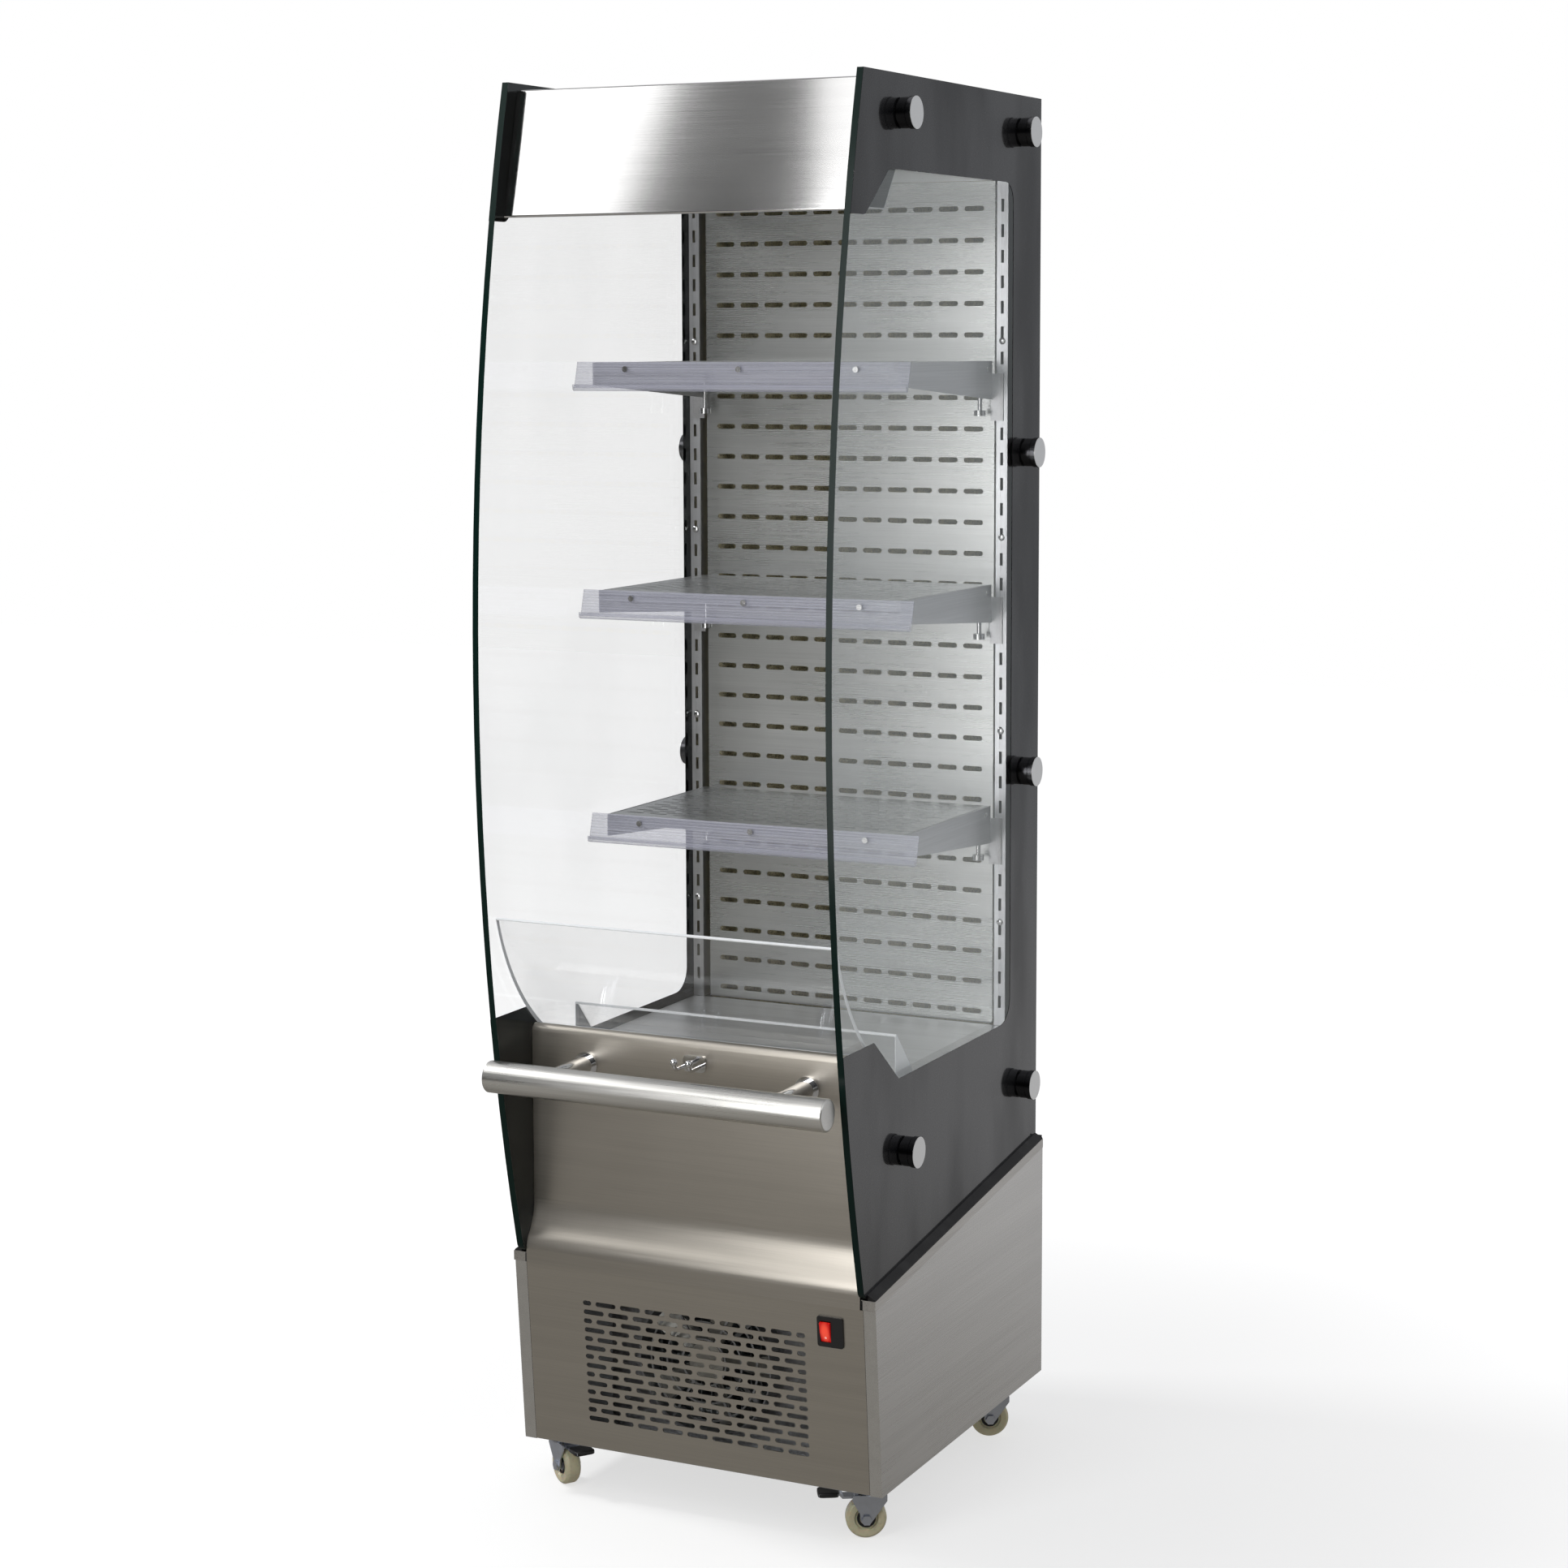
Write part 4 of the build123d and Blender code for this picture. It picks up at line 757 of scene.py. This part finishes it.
def studio_world():
    """White all round for the eye; for light and reflections, bright above and behind, and in front a warm
    low glow below a dark band at eye level."""
    world = bpy.data.worlds.new("studio")
    bpy.context.scene.world = world
    world.use_nodes = True
    room = Tree(world.node_tree)
    background = room.tree.nodes["Background"]
    parts = room.node("SeparateXYZ", inputs={0: room.node("TexCoord").out("Generated")})
    depth, height = parts.out("Y"), parts.out("Z")
    walls = room.between(ROOM_LOW, ROOM_RIM, height.ease(-0.36, -0.24))
    walls = room.between(walls, ROOM_LEVEL, height.ease(-0.22, -0.12))
    walls = room.between(walls, ROOM_HIGH, height.ease(0.1, 0.7))
    front = room.between(FRONT_LOW, FRONT_LEVEL, height.ease(-0.35, 0.0))
    front = room.between(front, FRONT_HIGH, height.ease(0.2, 0.8))
    room_light = room.between(walls, front, depth.ease(0.1, -0.5))
    seen = room.node("LightPath").out("Is Camera Ray")
    room.plug(background.inputs["Color"], room.between(room_light, (1.0, 1.0, 1.0), seen))
    background.inputs["Strength"].default_value = 1.0


def softbox(name, place, target, size, power):
    """A rectangular lamp at a place, facing a target, out of the camera's sight."""
    lamp = bpy.data.lights.new(name, "AREA")
    lamp.shape = "RECTANGLE"
    lamp.size, lamp.size_y = size
    lamp.energy = power
    made = bpy.data.objects.new(name, lamp)
    bpy.context.scene.collection.objects.link(made)
    made.location = place
    made.rotation_euler = (Vector(target) - Vector(place)).to_track_quat("-Z", "Y").to_euler()
    made.visible_camera = False


studio_world()
softbox("left_key", (-2.6, -0.4, 2.9), (0, 0.1, 1.0), (0.6, 0.6), 60)
softbox("right_fill", (2.6, -0.9, 2.9), (0, 0.1, 1.0), (1.2, 1.2), 8)
softbox("front_card", (-0.20, -1.6, 1.35), (-0.19, 0.2, 1.25), (0.58, 1.9), 13)
softbox("sky_left", (-1.60, -1.7, 2.75), (0, -0.2, 1.6), (1.1, 1.0), 5.0)
softbox("sky_right", (-0.24, -1.7, 2.75), (0, -0.2, 1.6), (0.85, 0.9), 2.7)

CAMERA_PLACE = (1.73115, -3.46812, 1.44258)
YAW, PITCH, ROLL = 25.893, -6.484, -0.168
SENSOR = 36.0
FOCAL_SHARE = 3847.08 / 1932           # focal length over the frame's width
SHIFT = (-0.01106, -0.05865)
camera_data = bpy.data.cameras.new("camera")
camera_data.sensor_width = SENSOR
camera_data.lens = SENSOR * FOCAL_SHARE
camera_data.shift_x, camera_data.shift_y = SHIFT
camera = bpy.data.objects.new("camera", camera_data)
bpy.context.scene.collection.objects.link(camera)
turn = (Matrix.Rotation(math.radians(YAW), 4, "Z") @ Matrix.Rotation(math.radians(90 + PITCH), 4, "X")
        @ Matrix.Rotation(math.radians(ROLL), 4, "Z"))
camera.matrix_world = Matrix.Translation(CAMERA_PLACE) @ turn
bpy.context.scene.camera = camera
bpy.context.scene.view_settings.view_transform = "Standard"
